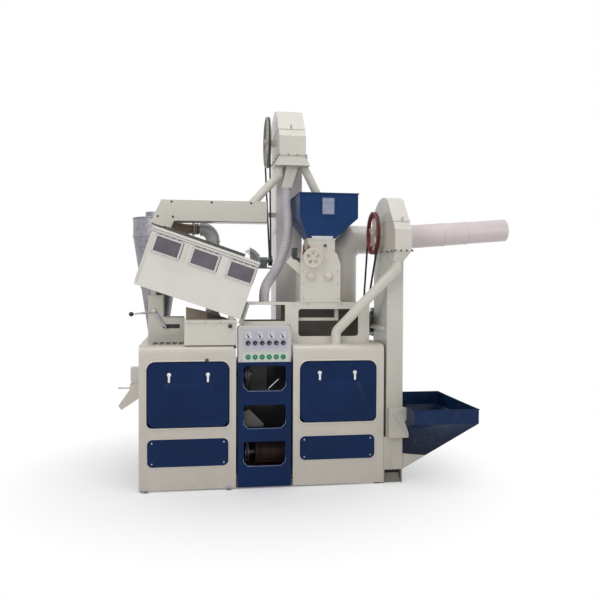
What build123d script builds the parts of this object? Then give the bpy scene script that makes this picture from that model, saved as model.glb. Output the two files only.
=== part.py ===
from build123d import *
import math
import os

# Combined rice huller. Lengths are in millimetres. Every place below is measured from the
# left front corner of the machine at floor level: x to the right, y to the back, z up.
# On export each piece is shifted so that the origin is the centre of the base on the floor.

# Overall sizes
DEPTH = 1090.0
CABINET_TOP = 1120.0
LEFT_CABINET_W = 737.0
MIDDLE_W = 447.0
RIGHT_CABINET_W = 732.0
RIGHT_CABINET_D = 430.0
RIGHT_X = LEFT_CABINET_W + MIDDLE_W
WIDTH = RIGHT_X + RIGHT_CABINET_W
CENTRE_X = WIDTH / 2
CENTRE_Y = DEPTH / 2

# Clearances
SHAFT_FIT = 0.05
LOOSE = 0.3
DOOR_GAP = 6.0

# Base frame
PAD_H = 15.0
RAIL_H = 50.0
RAIL_W = 50.0
RAIL_T = 6.0
RAIL_INSET = 8.0
FRAME_TOP = PAD_H + RAIL_H
ANCHOR_R = 7.0
ANCHOR_X = (40.0, WIDTH - 40.0)
ANCHOR_Y = (34.0, DEPTH - 34.0)
LEG_RAIL_X = RIGHT_X + 54.0

# Cabinets
SHEET = 4.0
SKIRT_Z = 12.0
TOP_RADIUS = 60.0
FLANGE_D = 26.0

# Upper doors and lower panels: left edge, right edge, bottom and top
LEFT_DOOR = (64.0, LEFT_CABINET_W - 56.0, 495.0, 991.0)
RIGHT_DOOR = (RIGHT_X + 59.0, WIDTH - 67.0, 511.0, 985.0)
DOOR_RADIUS = 60.0
SILL_RADIUS = 40.0
DOOR_T = 3.0
DOOR_PROUD = 4.0
DOOR_PAN_D = 18.0
EMBOSS_H = 5.0
HINGE_RISE = 12.0
HINGE_BACK = 12.0
HINGE_INSET = 130.0
KNUCKLE_R = 8.0
KNUCKLE_W = 20.0
PIN_R = 4.0
EAR_W = 8.0
LEFT_PANEL = (63.0, LEFT_CABINET_W - 59.0, 191.0, 402.0)
RIGHT_PANEL = (RIGHT_X + 55.0, WIDTH - 76.0, 211.0, 398.0)
PANEL_RADIUS = 40.0
PANEL_T = 5.0
PANEL_LAP = 25.0

# Door latches
LATCH_Z = 898.0
LEFT_LATCH_X = (LEFT_DOOR[0] + 163.0, LEFT_DOOR[1] - 160.0)
RIGHT_LATCH_X = (RIGHT_DOOR[0] + 151.0, RIGHT_DOOR[1] - 173.0)
LATCH_SHAFT_R = 6.0
LATCH_ROSE_R = 16.0
LATCH_GRIP = (58.0, 16.0, 5.0)
LATCH_KEEPER = 112.0

# Belt guard
GUARD_X = LEFT_CABINET_W + 14.0
GUARD_W = MIDDLE_W - 29.0
GUARD_TOP = 988.0
GUARD_T = 3.0
GUARD_D = 424.0
WINDOW_SIDE = 46.0
WINDOWS_Z = ((762.0, 956.0), (470.0, 653.0), (175.0, 366.0))
WINDOW_CHAMFER = 34.0
WINDOW_LIP = 14.0

# Control box with its meters, switches and buttons
CONTROL_W = GUARD_W - 6.0
CONTROL_X = GUARD_X + 3.0
CONTROL_MID = CONTROL_X + CONTROL_W / 2
CONTROL_TOP = 1269.0
CONTROL_PROUD = 4.0
FASCIA = -CONTROL_PROUD
CONTROL_D = 150.0
CONTROL_RADIUS = 26.0
DIAL_SHIFT = 6.0
BUTTON_PITCH = 55.0
BUTTON_COUNT = 6
BUTTON_Z = 1028.0
BUTTON_R = 12.0
BUTTON_STEM_R = 6.0
BUTTON_TRAVEL = 5.0
BEZEL_R = 20.0
SWITCH_Z = 1137.0
SWITCH_R = 18.0
SWITCH_SHAFT_R = 4.0
METER_COUNT = 4
METER_PITCH = 89.0
METER_SIZE = 52.0
METER_Z = 1200.0

# Paddy separator deck, tilted down to the right
DECK_TILT = 18.7
DECK_CORNER = (LEFT_CABINET_W - 628.0, 2034.0)
DECK_LENGTH = 858.0
DECK_HEIGHT = 467.0
DECK_FRONT = 60.0
DECK_D = 580.0
DECK_T = 3.0
DECK_RAIL = (38.0, 9.0)
DECK_WINDOW_COUNT = 3
DECK_WINDOW = (198.0, 122.0)
DECK_WINDOW_DROP = 56.0
DECK_MARGINS = (48.0, 14.0)
DECK_FLAP_R = 118.0
DECK_FOOT_W = 35.0
PORTAL_X = (48.0, 334.0)
PORTAL_Y = (350.0, 620.0)
PORTAL_T = 6.0
PORTAL_TOP = 1500.0
PORTAL_POST_W = 117.0
PORTAL_SHOULDER_Z = 1319.0
DRIVE_BOX = (PORTAL_X[1] + 7.0, LEFT_CABINET_W + 7.0, 20.0, 300.0, 1313.0)

# Husker on its stand
STAND_GAP = 24.0
STAND_RIGHT = RIGHT_X + 648.0
STAND_Y = (150.0, 428.0)
STAND_TOP = 1450.0
STAND_T = 5.0
STAND_WINDOW = (RIGHT_X + 61.0, STAND_RIGHT - 94.0, CABINET_TOP + 55.0, STAND_TOP - 55.0)
SILL_WINDOW_Z = (CONTROL_TOP + 29.0, STAND_TOP - 22.0)
BODY_X = (RIGHT_X + 78.0, RIGHT_X + 405.0)
BODY_Y = STAND_Y
BODY_TOP = 1850.0
BODY_T = 6.0
BODY_SHOULDER = (31.0, 96.0)
BODY_THROAT_INSET = 40.0
NECK_X = (BODY_X[0] + 62.0, BODY_X[1] - 43.0)
NECK_Y = (170.0, 400.0)
NECK_TOP = 1966.0
HOPPER_X = (BODY_X[0] - 9.0, BODY_X[1] + 144.0)
HOPPER_Y = (BODY_Y[0], 660.0)
HOPPER_FOLD = 2130.0
HOPPER_TOP = 2330.0
HOPPER_T = 3.0
ROLL_R = 70.0
ROLL_NIP = 3.0
ROLL_X = (BODY_X[0] + BODY_X[1]) / 2 - 7.5
ROLL_OFFSET = ROLL_R + ROLL_NIP / 2
ROLL_Z = 1660.0
ROLL_SHAFT_R = 15.0
ROLL_INSET = 30.0
WHEEL_AT = (BODY_X[0] + 90.0, 1806.0)
WHEEL_R = 79.0
WHEEL_Y = 86.0
WHEEL_RIM = (18.0, 14.0)
WHEEL_HOLES = 5
WHEEL_HOLE_R = 15.0
WHEEL_SHAFT_R = 10.0

# Left bucket elevator
LEFT_LEG_X = (RIGHT_X - 59.0, RIGHT_X + 168.0)
LEFT_LEG_Y = (680.0, 1082.0)
LEFT_HEAD_Z = 2684.0
HEAD_OVERHANG = 215.0
HEAD_SEAM = (232.0, 12.0)
LEG_T = 3.0
FUNNEL_FLARE = 34.0
FUNNEL_H = 85.0
FUNNEL_LOW = LEFT_HEAD_Z - FUNNEL_H
FUNNEL_Y = LEFT_LEG_Y[0] - HEAD_OVERHANG / 2

# Right bucket elevator, standing on the floor beside the right cabinet
RIGHT_LEG_X = (WIDTH + 22.0, WIDTH + 155.0)
RIGHT_LEG_Y = (0.0, 412.0)
RIGHT_HEAD_Z = 1855.0
BOOT_TOP = 371.0
BOOT_SIDE = RIGHT_LEG_X[0] - WIDTH
FOOT_H = 112.0
THROAT_X = (RIGHT_LEG_X[0] + 6.0, RIGHT_LEG_X[1] + 35.0)
THROAT_Y = (RIGHT_LEG_Y[0] - 55.0, RIGHT_LEG_Y[0])
THROAT_Z = (BOOT_TOP + 4.0, 612.0)

# Elevator drives
LEFT_PULLEY_X = LEFT_LEG_X[0] - 61.0
LEFT_PULLEY_Y = (LEFT_LEG_Y[0] + LEFT_LEG_Y[1]) / 2
LEFT_PULLEY_R = 226.0
LEFT_PULLEY_Z = LEFT_HEAD_Z + 182.0
LEFT_DRIVE_AT = (602.0, 1797.0)
LEFT_BEARING_X = (LEFT_PULLEY_X - 112.0, LEFT_PULLEY_X - 24.0)
RIGHT_PULLEY_X = RIGHT_LEG_X[0] - 62.0
RIGHT_PULLEY_Y = (RIGHT_LEG_Y[0] + RIGHT_LEG_Y[1]) / 2
RIGHT_PULLEY_R = 175.0
RIGHT_PULLEY_Z = RIGHT_HEAD_Z + 161.0
RIGHT_DRIVE_AT = (RIGHT_LEG_Y[1] + 113.0, 1270.0)
SMALL_PULLEY_R = 45.0
PULLEY_W = 30.0
GROOVE_W = 15.0
GROOVE_D = 11.0
HEAD_SHAFT_R = 14.0
MOTOR_R = 92.0
MOTOR_LENGTH = 185.0
RIGHT_MOTOR_X = RIGHT_PULLEY_X + PULLEY_W / 2 + 14.0
BRACKET_T = 8.0

# Mill, and its drive inside the belt guard
MILL_Y = 215.0
MILL_Z = 872.0
MILL_PULLEY_X = GUARD_X + 84.0
MILL_PULLEY_R = 105.0
MILL_SHAFT_R = 20.0
CHAMBER_X = (240.0, LEFT_CABINET_W - 97.0)
CHAMBER_R = 84.0
MOTOR_Z = 240.0
MAIN_PULLEY_R = 75.0
MAIN_MOTOR_R = 125.0
MAIN_MOTOR_X = (MILL_PULLEY_X + 65.0, MILL_PULLEY_X + 315.0)

# Ducts
BEAM_Y = (490.0, 650.0)
BEAM_T = 3.0
BEAM_Z = (2113.0, 2291.0)
BEAM_END = LEFT_LEG_X[0] - 93.0
CYCLONE_AT = (100.0, 870.0)
CYCLONE_R = 213.0
CYCLONE_TOP = 2165.0
CYCLONE_SHOULDER = 2002.0
CYCLONE_TIP_R = 78.0
CYCLONE_T = 3.0
COLLAR_R = 107.0
COLLAR_TOP = CYCLONE_TOP + 54.0
DIP_Z = 1950.0
INLET_X = (CYCLONE_AT[0] + 130.0, CYCLONE_AT[0] + 300.0)
INLET_H = 104.0
BRAN_AT = (LEFT_CABINET_W - 163.0, 717.0)
BRAN_R = 60.0
BRAN_BEND = 95.0
BRAN_PIPE_R = 42.0
BRAN_PIPE_Z = 2068.0
EXHAUST_AT = (RIGHT_X + 506.0, 560.0)
EXHAUST_R = 122.0
EXHAUST_BEND = 162.0
EXHAUST_PIPE_Z = 1985.0
EXHAUST_JOINT_X = EXHAUST_AT[0] + 210.0
OUTLET_R = 102.0
OUTLET_END = (EXHAUST_JOINT_X + 1280.0, EXHAUST_PIPE_Z + 103.0)
OUTLET_LENGTHS = (130.0, 715.0, 930.0)
OUTLET_STEP = 2.0
PIPE_T = 3.0
FAN_DUCT_X = (EXHAUST_AT[0] - EXHAUST_R - 8.0, EXHAUST_AT[0] + EXHAUST_R + 8.0)
FAN_DUCT_Z = (300.0, 512.0)
FAN_AT = (EXHAUST_AT[0] - 130.0, 406.0)
FAN_Y = (170.0, 300.0)
FAN_R = 190.0

# Spouts, feed pipe and hose
SPOUT_R = 36.0
SPOUT_TOPS = (LEFT_LEG_X[0] + 9.0, LEFT_LEG_X[0] + 121.0, LEFT_LEG_X[0] + 225.0)
SPOUT_ELBOW_Z = 2530.0
LEFT_SPOUT_FOOT = LEFT_LEG_X[0] - 241.0
RIGHT_SPOUT_FOOT = (SPOUT_TOPS[2] + 146.0, HOPPER_TOP - 12.0)
FEED_R = 40.0
FEED_TOP = (RIGHT_LEG_X[0] + 44.0, RIGHT_LEG_Y[0] - 112.0, RIGHT_HEAD_Z - 80.0)
FEED_FOOT = (RIGHT_X + 361.0, 105.0)
HOSE_R = 41.0
HOSE_TOP = (SPOUT_TOPS[1] - 50.0, 2430.0)
HOSE_END = (RIGHT_X - 199.0, 330.0)
HOSE_RADII = (400.0, 500.0, 500.0, 300.0, 250.0, 90.0)

# Intake hopper on the right elevator
INTAKE_RIM_Z = 625.0
INTAKE_BAND = 110.0
INTAKE_X = (RIGHT_LEG_X[1] + 17.0, RIGHT_LEG_X[1] + 536.0)
INTAKE_Y = (RIGHT_LEG_Y[0] - 262.0, RIGHT_LEG_Y[1] + 246.0)
INTAKE_T = 4.0
CHUTE_SPLIT_Z = 238.0
MOUTH_Z = (110.0, 500.0)

# Rice outlet on the left side
SPOUT_Y = (200.0, 300.0)
SPOUT_T = 3.0
SPOUT_BOX = (77.0, 823.0, 933.0)
GATE_Z = 768.0
GATE_R = 6.0

# Adjusting lever on the separator portal
LEVER_AT = (97.0, 1372.0)
LEVER_PIN_R = 6.0
LEVER_R = 5.0
LEVER_KNOB_R = 19.0
LEVER_KNEE = (-78.0, -18.0)
LEVER_KNOB = (-181.0, -24.0)
LEVER_ROD_END = (100.0, -145.0)


def block(x0, x1, y0, y1, z0, z1):
    """A box between two corners."""
    return Pos(x0, y0, z0) * Box(x1 - x0, y1 - y0, z1 - z0, align=(Align.MIN, Align.MIN, Align.MIN))


def outline(points):
    """A flat face inside a closed run of points."""
    return make_face(Polyline(*points, close=True))


def front_plane(y):
    """Sketch plane whose first axis is x and whose second is z; it looks to the front."""
    return Plane(origin=(0, y, 0), x_dir=(1, 0, 0), z_dir=(0, -1, 0))


def side_plane(x):
    """Sketch plane whose first axis is y and whose second is z; it looks to the right."""
    return Plane(origin=(x, 0, 0), x_dir=(0, 1, 0), z_dir=(1, 0, 0))


def across(face, y0, y1):
    """An x-z outline made solid from y0 back to y1."""
    return extrude(front_plane(y0) * face, -(y1 - y0))


def along(face, x0, x1):
    """A y-z outline made solid from x0 to x1."""
    return extrude(side_plane(x0) * face, x1 - x0)


def rod(start, end, radius):
    """A round bar between two points."""
    start, end = Vector(*start), Vector(*end)
    return extrude(Plane(origin=start, z_dir=end - start) * Circle(radius), (end - start).length)


def rounded(x0, x1, z0, z1, radius):
    """An x-z rectangle with round corners."""
    return Pos((x0 + x1) / 2, (z0 + z1) / 2) * RectangleRounded(x1 - x0, z1 - z0, radius)


def round_corners(x0, x1, z0, z1, low_radius, high_radius):
    """An x-z rectangle whose lower and upper corners have radii of their own."""
    face = Pos((x0 + x1) / 2, (z0 + z1) / 2) * Rectangle(x1 - x0, z1 - z0)
    face = fillet(face.vertices().group_by(Axis.Y)[-1], high_radius)
    return fillet(face.vertices().sort_by(Axis.Y)[:2], low_radius)


def tube(points, radii, radius, wall):
    """A hollow pipe whose centre line is straight runs joined by tangent arcs."""
    path = FilletPolyline(*points, radius=radii) if radii else Polyline(*points)
    start = Plane(origin=path @ 0, z_dir=path % 0)
    return sweep(start * Circle(radius) - start * Circle(radius - wall), path=path)


def inset_box(edges, wall):
    """The edges of a rectangle moved inwards by a wall."""
    return edges[0] + wall, edges[1] - wall


# Base frame: welded channels on pads, open side inwards, with anchor holes in the corners


def base_frame():
    x0, x1 = RAIL_INSET, WIDTH - RAIL_INSET
    y0, y1 = RAIL_INSET, DEPTH - RAIL_INSET
    z0, z1 = PAD_H, FRAME_TOP
    low, high = z0 + RAIL_T, z1 - RAIL_T
    ring = block(x0, x1, y0, y1, z0, z1)
    ring -= block(x0 + RAIL_W, x1 - RAIL_W, y0 + RAIL_W, y1 - RAIL_W, z0, z1)
    ring -= block(x0 + RAIL_T, x1 - RAIL_T, y0 + RAIL_T, y1 - RAIL_T, low, high)
    for x in (CENTRE_X, LEG_RAIL_X):
        ring += block(x - RAIL_W / 2, x + RAIL_W / 2, y0 + RAIL_T, y1 - RAIL_T, z0, z1)
    corners = [(x, y) for x in (ANCHOR_X[0], ANCHOR_X[1]) for y in ANCHOR_Y]
    for x, y in corners + [(CENTRE_X, CENTRE_Y)]:
        ring += block(x - 30, x + 30, y - 25, y + 25, 0, z0)
    for x, y in corners:
        ring -= rod((x, y, -1), (x, y, low + 1), ANCHOR_R)
    return ring


# Cabinets: folded sheet with a round top front edge, a floor pan and framed door openings


def cabinet_face(depth, bottom, inset):
    radius = TOP_RADIUS - inset
    near, far, roof = inset, depth - inset, CABINET_TOP - inset
    sides = Polyline((near, roof - radius), (near, bottom), (far, bottom), (far, roof), (near + radius, roof))
    return make_face(sides + CenterArc((near + radius, roof - radius), radius, 90, 90))


def hinge_places(door):
    return door[0] + HINGE_INSET, door[1] - HINGE_INSET


def hinge_axis(door):
    return HINGE_BACK - DOOR_PROUD, door[2] + HINGE_RISE


def hinge_ears(door):
    """Two ears at each hinge, on a post behind the sweep of the door."""
    pin_y, pin_z = hinge_axis(door)
    sill = door[2] - DOOR_GAP
    post_y = FLANGE_D - 5
    inner = KNUCKLE_W / 2 + 0.5
    ears = []
    for x in hinge_places(door):
        for side in (-1, 1):
            a, b = sorted((x + side * inner, x + side * (inner + EAR_W)))
            ear = rod((a, pin_y, pin_z), (b, pin_y, pin_z), KNUCKLE_R)
            ear += block(a, b, pin_y, FLANGE_D, pin_z - KNUCKLE_R, pin_z + KNUCKLE_R)
            ear += block(a, b, post_y, FLANGE_D, sill, pin_z)
            ears.append(ear - rod((a - 1, pin_y, pin_z), (b + 1, pin_y, pin_z), PIN_R + SHAFT_FIT))
    return ears


def cabinet(x0, x1, depth, door, panel):
    shell = along(cabinet_face(depth, SKIRT_Z, 0), x0, x1)
    shell -= along(cabinet_face(depth, FRAME_TOP + SHEET, SHEET), x0 + SHEET, x1 - SHEET)
    shell -= block(SHEET, WIDTH - SHEET, SHEET, DEPTH - SHEET, SKIRT_Z, FRAME_TOP)
    left, right = door[0] - DOOR_GAP, door[1] + DOOR_GAP
    sill, head = door[2] - DOOR_GAP, door[3] + DOOR_GAP
    radius = DOOR_RADIUS + DOOR_GAP
    edges = (left - SHEET, right + SHEET, sill - SHEET, head + SHEET)
    shell += across(round_corners(*edges, SILL_RADIUS + SHEET, radius + SHEET), 0, FLANGE_D)
    shell -= across(round_corners(left, right, sill, head, SILL_RADIUS, radius), -1, FLANGE_D + 1)
    hatch = (panel[0] + PANEL_LAP, panel[1] - PANEL_LAP, panel[2] + PANEL_LAP, panel[3] - PANEL_LAP)
    shell -= across(rounded(*hatch, PANEL_RADIUS - PANEL_LAP / 2), -1, SHEET + 1)
    for ear in hinge_ears(door):
        shell += ear
    return shell


def left_cabinet():
    shell = cabinet(0, LEFT_CABINET_W, DEPTH, LEFT_DOOR, LEFT_PANEL)
    wall = LEFT_CABINET_W - SHEET
    shell -= rod((wall - 1, MILL_Y, MILL_Z), (LEFT_CABINET_W + 1, MILL_Y, MILL_Z), MILL_SHAFT_R + 12)
    low, high = SPOUT_BOX[1] + 7, SPOUT_BOX[2] - 8
    shell -= block(-1, SHEET + 1, *inset_box(SPOUT_Y, SPOUT_T), low, high)
    return shell


def right_cabinet():
    shell = cabinet(RIGHT_X, WIDTH, RIGHT_CABINET_D, RIGHT_DOOR, RIGHT_PANEL)
    fan_x = inset_box(FAN_DUCT_X, -2)
    return shell - block(*fan_x, RIGHT_CABINET_D - SHEET - 1, RIGHT_CABINET_D + 1, FAN_DUCT_Z[0] - 2, FAN_DUCT_Z[1] + 2)


def upper_door(door, latches):
    """A pan with a raised field, hinge knuckles with their pins, and holes for the latches."""
    x0, x1, z0, z1 = door
    front = -DOOR_PROUD
    skin = front + DOOR_T
    pan = across(rounded(*door, DOOR_RADIUS), front, front + DOOR_PAN_D)
    hollow = rounded(x0 + DOOR_T, x1 - DOOR_T, z0 + DOOR_T, z1 - DOOR_T, DOOR_RADIUS - DOOR_T)
    pan -= across(hollow, skin, front + DOOR_PAN_D)
    field = [(x0 + 70, z0 + 75), (x1 - 70, z0 + 75), (x1 - 130, z1 - 150), (x0 + 130, z1 - 150)]
    crest = [(x0 + 90, z0 + 90), (x1 - 90, z0 + 90), (x1 - 142, z1 - 165), (x0 + 142, z1 - 165)]
    low, high = front_plane(front) * outline(field), front_plane(front - EMBOSS_H) * outline(crest)
    pan += loft([low.face(), high.face()], ruled=True)
    pin_y, pin_z = hinge_axis(door)
    half = KNUCKLE_W / 2
    reach = half + EAR_W + 1
    for x in hinge_places(door):
        pan -= block(x - reach - 2, x + reach + 2, skin, front + DOOR_PAN_D, z0, pin_z + KNUCKLE_R + 4)
        pan += block(x - half, x + half, skin, pin_y, pin_z - KNUCKLE_R, pin_z + KNUCKLE_R)
        pan += rod((x - half, pin_y, pin_z), (x + half, pin_y, pin_z), KNUCKLE_R)
        pan += rod((x - reach, pin_y, pin_z), (x + reach, pin_y, pin_z), PIN_R)
    for x in latches:
        pan -= rod((x, front - 1, LATCH_Z), (x, skin + 1, LATCH_Z), LATCH_SHAFT_R + SHAFT_FIT)
    return pan


def latch(x, side):
    """A latch with a hanging grip; a quarter turn puts its keeper behind the frame above."""
    front = -DOOR_PROUD
    length, width, thick = LATCH_GRIP
    piece = rod((x, front - LOOSE, LATCH_Z), (x, front - 9, LATCH_Z), LATCH_ROSE_R)
    piece = fillet(piece.edges().filter_by(GeomType.CIRCLE).sort_by(Axis.Y)[0], 4)
    grip = block(x - width / 2, x + width / 2, front - 7 - thick, front - 7, LATCH_Z - length, LATCH_Z + 4)
    piece += fillet(grip.edges().filter_by(Axis.Y), width / 2 - 1)
    behind = FLANGE_D + 2
    piece += rod((x, front - 1, LATCH_Z), (x, behind + 6, LATCH_Z), LATCH_SHAFT_R)
    piece += rod((x, front + DOOR_T + LOOSE, LATCH_Z), (x, behind + 4, LATCH_Z), LATCH_SHAFT_R + 4)
    a, b = sorted((x - side * 9, x + side * LATCH_KEEPER))
    return piece + block(a, b, behind, behind + 4, LATCH_Z - 8, LATCH_Z + 8)


def lower_panel(panel):
    """A shallow pressed cover that laps over its hatch."""
    plate = across(rounded(*panel, PANEL_RADIUS), -PANEL_T, 0)
    rim = plate.faces().sort_by(Axis.Y)[0].edges()
    return fillet(rim, PANEL_T / 2)


# Belt guard: a three sided sheet with windows, standing on the front rail


def window_face(z0, z1, grow):
    x0, x1 = GUARD_X + WINDOW_SIDE - grow, GUARD_X + GUARD_W - WINDOW_SIDE + grow
    face = Pos((x0 + x1) / 2, (z0 + z1) / 2) * Rectangle(x1 - x0, z1 - z0 + 2 * grow)
    low, high = face.vertices().group_by(Axis.Y)[0], face.vertices().group_by(Axis.Y)[-1]
    face = fillet(high, 18 + grow)
    low = face.vertices().group_by(Axis.Y)[0]
    face = chamfer(low, WINDOW_CHAMFER + grow / 2)
    return face


def belt_guard():
    x0, x1 = GUARD_X, GUARD_X + GUARD_W
    guard = block(x0, x1, 0, GUARD_D, FRAME_TOP, GUARD_TOP)
    guard -= block(x0 + GUARD_T, x1 - GUARD_T, GUARD_T, GUARD_D + 1, FRAME_TOP - 1, GUARD_TOP - GUARD_T)
    guard += block(x0, x1, 0, GUARD_T, SKIRT_Z, FRAME_TOP)
    for z0, z1 in WINDOWS_Z:
        guard += across(window_face(z0, z1, GUARD_T), 0, WINDOW_LIP)
        guard -= across(window_face(z0, z1, 0), -1, WINDOW_LIP + 1)
    shaft_room = MILL_SHAFT_R + 12
    return guard - rod((x0 - 1, MILL_Y, MILL_Z), (x0 + GUARD_T + 1, MILL_Y, MILL_Z), shaft_room)


# Control box


def row(count, pitch, centre):
    return [centre + (i - (count - 1) / 2) * pitch for i in range(count)]


BUTTON_XS = row(BUTTON_COUNT, BUTTON_PITCH, CONTROL_MID + DIAL_SHIFT)
METER_XS = row(METER_COUNT, METER_PITCH, CONTROL_MID + DIAL_SHIFT)


def control_box():
    x0, x1 = CONTROL_X, CONTROL_X + CONTROL_W
    face = Pos(CONTROL_MID, (GUARD_TOP + CONTROL_TOP) / 2) * Rectangle(CONTROL_W, CONTROL_TOP - GUARD_TOP)
    face = fillet(face.vertices().group_by(Axis.Y)[-1], CONTROL_RADIUS)
    box = across(face, FASCIA, CONTROL_D)
    box = fillet(box.edges().filter_by(Axis.X).group_by(Axis.Z)[-1].sort_by(Axis.Y)[0], 8)
    hollow = offset(face, -GUARD_T)
    box -= across(hollow, FASCIA + GUARD_T, CONTROL_D - GUARD_T)
    for x in BUTTON_XS:
        box += rod((x, FASCIA, BUTTON_Z), (x, FASCIA - 5, BUTTON_Z), BEZEL_R)
        box -= rod((x, FASCIA - 6, BUTTON_Z), (x, FASCIA, BUTTON_Z), BUTTON_R + LOOSE)
        box -= rod((x, FASCIA - 1, BUTTON_Z), (x, FASCIA + 4, BUTTON_Z), BUTTON_STEM_R + SHAFT_FIT)
        box -= rod((x, FASCIA - 1, SWITCH_Z), (x, FASCIA + 4, SWITCH_Z), SWITCH_SHAFT_R + SHAFT_FIT)
    return box


def button(x):
    """Cap in its bezel, with room behind it for the travel, and a stem through the fascia."""
    cap = rod((x, FASCIA - 12, BUTTON_Z), (x, FASCIA - BUTTON_TRAVEL - 0.5, BUTTON_Z), BUTTON_R)
    cap = fillet(cap.edges().filter_by(GeomType.CIRCLE).sort_by(Axis.Y)[0], 2)
    return cap + rod((x, FASCIA - 7, BUTTON_Z), (x, FASCIA + 14, BUTTON_Z), BUTTON_STEM_R)


def switch(x):
    """Round selector knob with a raised pointer bar that leans to the left."""
    knob = rod((x, FASCIA - LOOSE, SWITCH_Z), (x, FASCIA - 10, SWITCH_Z), SWITCH_R)
    bar = Pos(x, FASCIA - 15, SWITCH_Z) * Rot(0, 45, 0) * Box(8, 12, 2 * SWITCH_R - 2)
    shaft = rod((x, FASCIA - 1, SWITCH_Z), (x, FASCIA + 12, SWITCH_Z), SWITCH_SHAFT_R)
    return knob + bar + shaft


def meter(x):
    half = METER_SIZE / 2
    case = block(x - half, x + half, FASCIA - 9, FASCIA, METER_Z - half, METER_Z + half)
    case = fillet(case.edges().filter_by(Axis.Y), 4)
    return case - block(x - half + 5, x + half - 5, FASCIA - 10, FASCIA - 7, METER_Z - 4, METER_Z + half - 5)


# Paddy separator: a tilted closed deck that shakes on a portal and a drive box

SLOPE = math.radians(DECK_TILT)
DECK_END = DECK_FRONT + DECK_D


def deck_point(u, v):
    """A point of the deck's front view, u along the slope and v square to it, downwards."""
    x = DECK_CORNER[0] + u * math.cos(SLOPE) - v * math.sin(SLOPE)
    z = DECK_CORNER[1] - u * math.sin(SLOPE) - v * math.cos(SLOPE)
    return x, z


def deck_patch(u0, u1, v0, v1):
    return outline([deck_point(u0, v0), deck_point(u1, v0), deck_point(u1, v1), deck_point(u0, v1)])


def deck_bottom(x):
    """Height of the deck's underside above the floor at a place x."""
    left_x, left_z = deck_point(0, DECK_HEIGHT)
    return left_z - (x - left_x) * math.tan(SLOPE)


def deck_foot(x0, x1, y0, y1, seat):
    """A foot from the slanting underside down to its level seat, one running gap above it."""
    low = seat + LOOSE
    face = outline([(x0, low), (x1, low), (x1, deck_bottom(x1)), (x0, deck_bottom(x0))])
    return across(face, y0, y1)


def window_places():
    span = DECK_LENGTH - DECK_MARGINS[0] - DECK_MARGINS[1] - DECK_WINDOW[0]
    return [DECK_MARGINS[0] + span * i / (DECK_WINDOW_COUNT - 1) for i in range(DECK_WINDOW_COUNT)]


def window_patch(u, grow):
    v = DECK_WINDOW_DROP
    return deck_patch(u - grow, u + DECK_WINDOW[0] + grow, v - grow, v + DECK_WINDOW[1] + grow)


def deck_flap():
    """A thin curved splash flap over the low end of the deck."""
    right, foot = deck_point(DECK_LENGTH - 2, 2)
    centre = (right - DECK_FLAP_R, foot)
    outer = CenterArc(centre, DECK_FLAP_R, 0, 72)
    inner = CenterArc(centre, DECK_FLAP_R - DECK_T, 0, 72)
    face = make_face([outer, Line(outer @ 1, inner @ 1), inner, Line(inner @ 0, outer @ 0)])
    return across(face, DECK_FRONT + 90, DECK_END - 90)


def separator_deck():
    """Closed deck with a top rail, a ribbed back strip, inner trays and two rest feet."""
    deck = across(deck_patch(0, DECK_LENGTH, 0, DECK_HEIGHT), DECK_FRONT, DECK_END)
    hollow = deck_patch(DECK_T, DECK_LENGTH - DECK_T, DECK_T, DECK_HEIGHT - DECK_T)
    deck -= across(hollow, DECK_FRONT + DECK_T, DECK_END - DECK_T)
    for v in (230, 320, 400):
        deck += across(deck_patch(DECK_T, DECK_LENGTH - DECK_T, v, v + DECK_T), DECK_FRONT + DECK_T, DECK_END - DECK_T)
    tall, proud = DECK_RAIL
    deck += across(deck_patch(-6, DECK_LENGTH + 6, -6, 14), DECK_FRONT - proud, DECK_FRONT + 30)
    deck += across(deck_patch(-6, DECK_LENGTH + 6, 14, tall - 6), DECK_FRONT - proud + 4, DECK_FRONT)
    strip = deck_patch(60, DECK_LENGTH - DECK_FLAP_R, -26, 0)
    deck += across(strip, DECK_FRONT + 120, DECK_END - 40)
    deck += deck_flap()
    for u in window_places():
        deck -= across(window_patch(u, 0), DECK_FRONT - 1, DECK_FRONT + DECK_T + 1)
    left, (y0, y1) = PORTAL_X[0] + 22, inset_box(PORTAL_Y, 5)
    deck += deck_foot(left, left + DECK_FOOT_W + 5, y0, y1, PORTAL_TOP)
    right = min(DRIVE_BOX[1] - 19, deck_point(DECK_LENGTH, DECK_HEIGHT)[0] - 47)
    return deck + deck_foot(right - DECK_FOOT_W, right, DRIVE_BOX[2] + 60, DRIVE_BOX[3] - 20, DRIVE_BOX[4])


def deck_pane(u):
    """A window pane with a raised frame, screwed over its opening."""
    frame = across(window_patch(u, 12), DECK_FRONT - 7, DECK_FRONT)
    return frame - across(window_patch(u, -3), DECK_FRONT - 8, DECK_FRONT - 3)


def portal():
    """Two cut out end plates, a top bearer and a foot plate."""
    x0, x1 = PORTAL_X
    z0, post, shoulder = CABINET_TOP, x0 + PORTAL_POST_W, PORTAL_SHOULDER_Z
    steps = [(x0, z0), (x1, z0), (x1, shoulder), (post, shoulder), (post, PORTAL_TOP), (x0, PORTAL_TOP)]
    inner = rounded(post, x1 - 33, z0 + 61, shoulder - 53, 8)
    frame = block(x0, post, *PORTAL_Y, PORTAL_TOP - PORTAL_T, PORTAL_TOP)
    frame += block(x0, x1, *PORTAL_Y, z0, z0 + PORTAL_T)
    for y0 in (PORTAL_Y[0], PORTAL_Y[1] - PORTAL_T):
        frame += across(outline(steps), y0, y0 + PORTAL_T) - across(inner, y0 - 1, y0 + PORTAL_T + 1)
    x, z = LEVER_AT
    return frame - rod((x, PORTAL_Y[0] - 1, z), (x, PORTAL_Y[0] + PORTAL_T + 1, z), LEVER_PIN_R + SHAFT_FIT)


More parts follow.
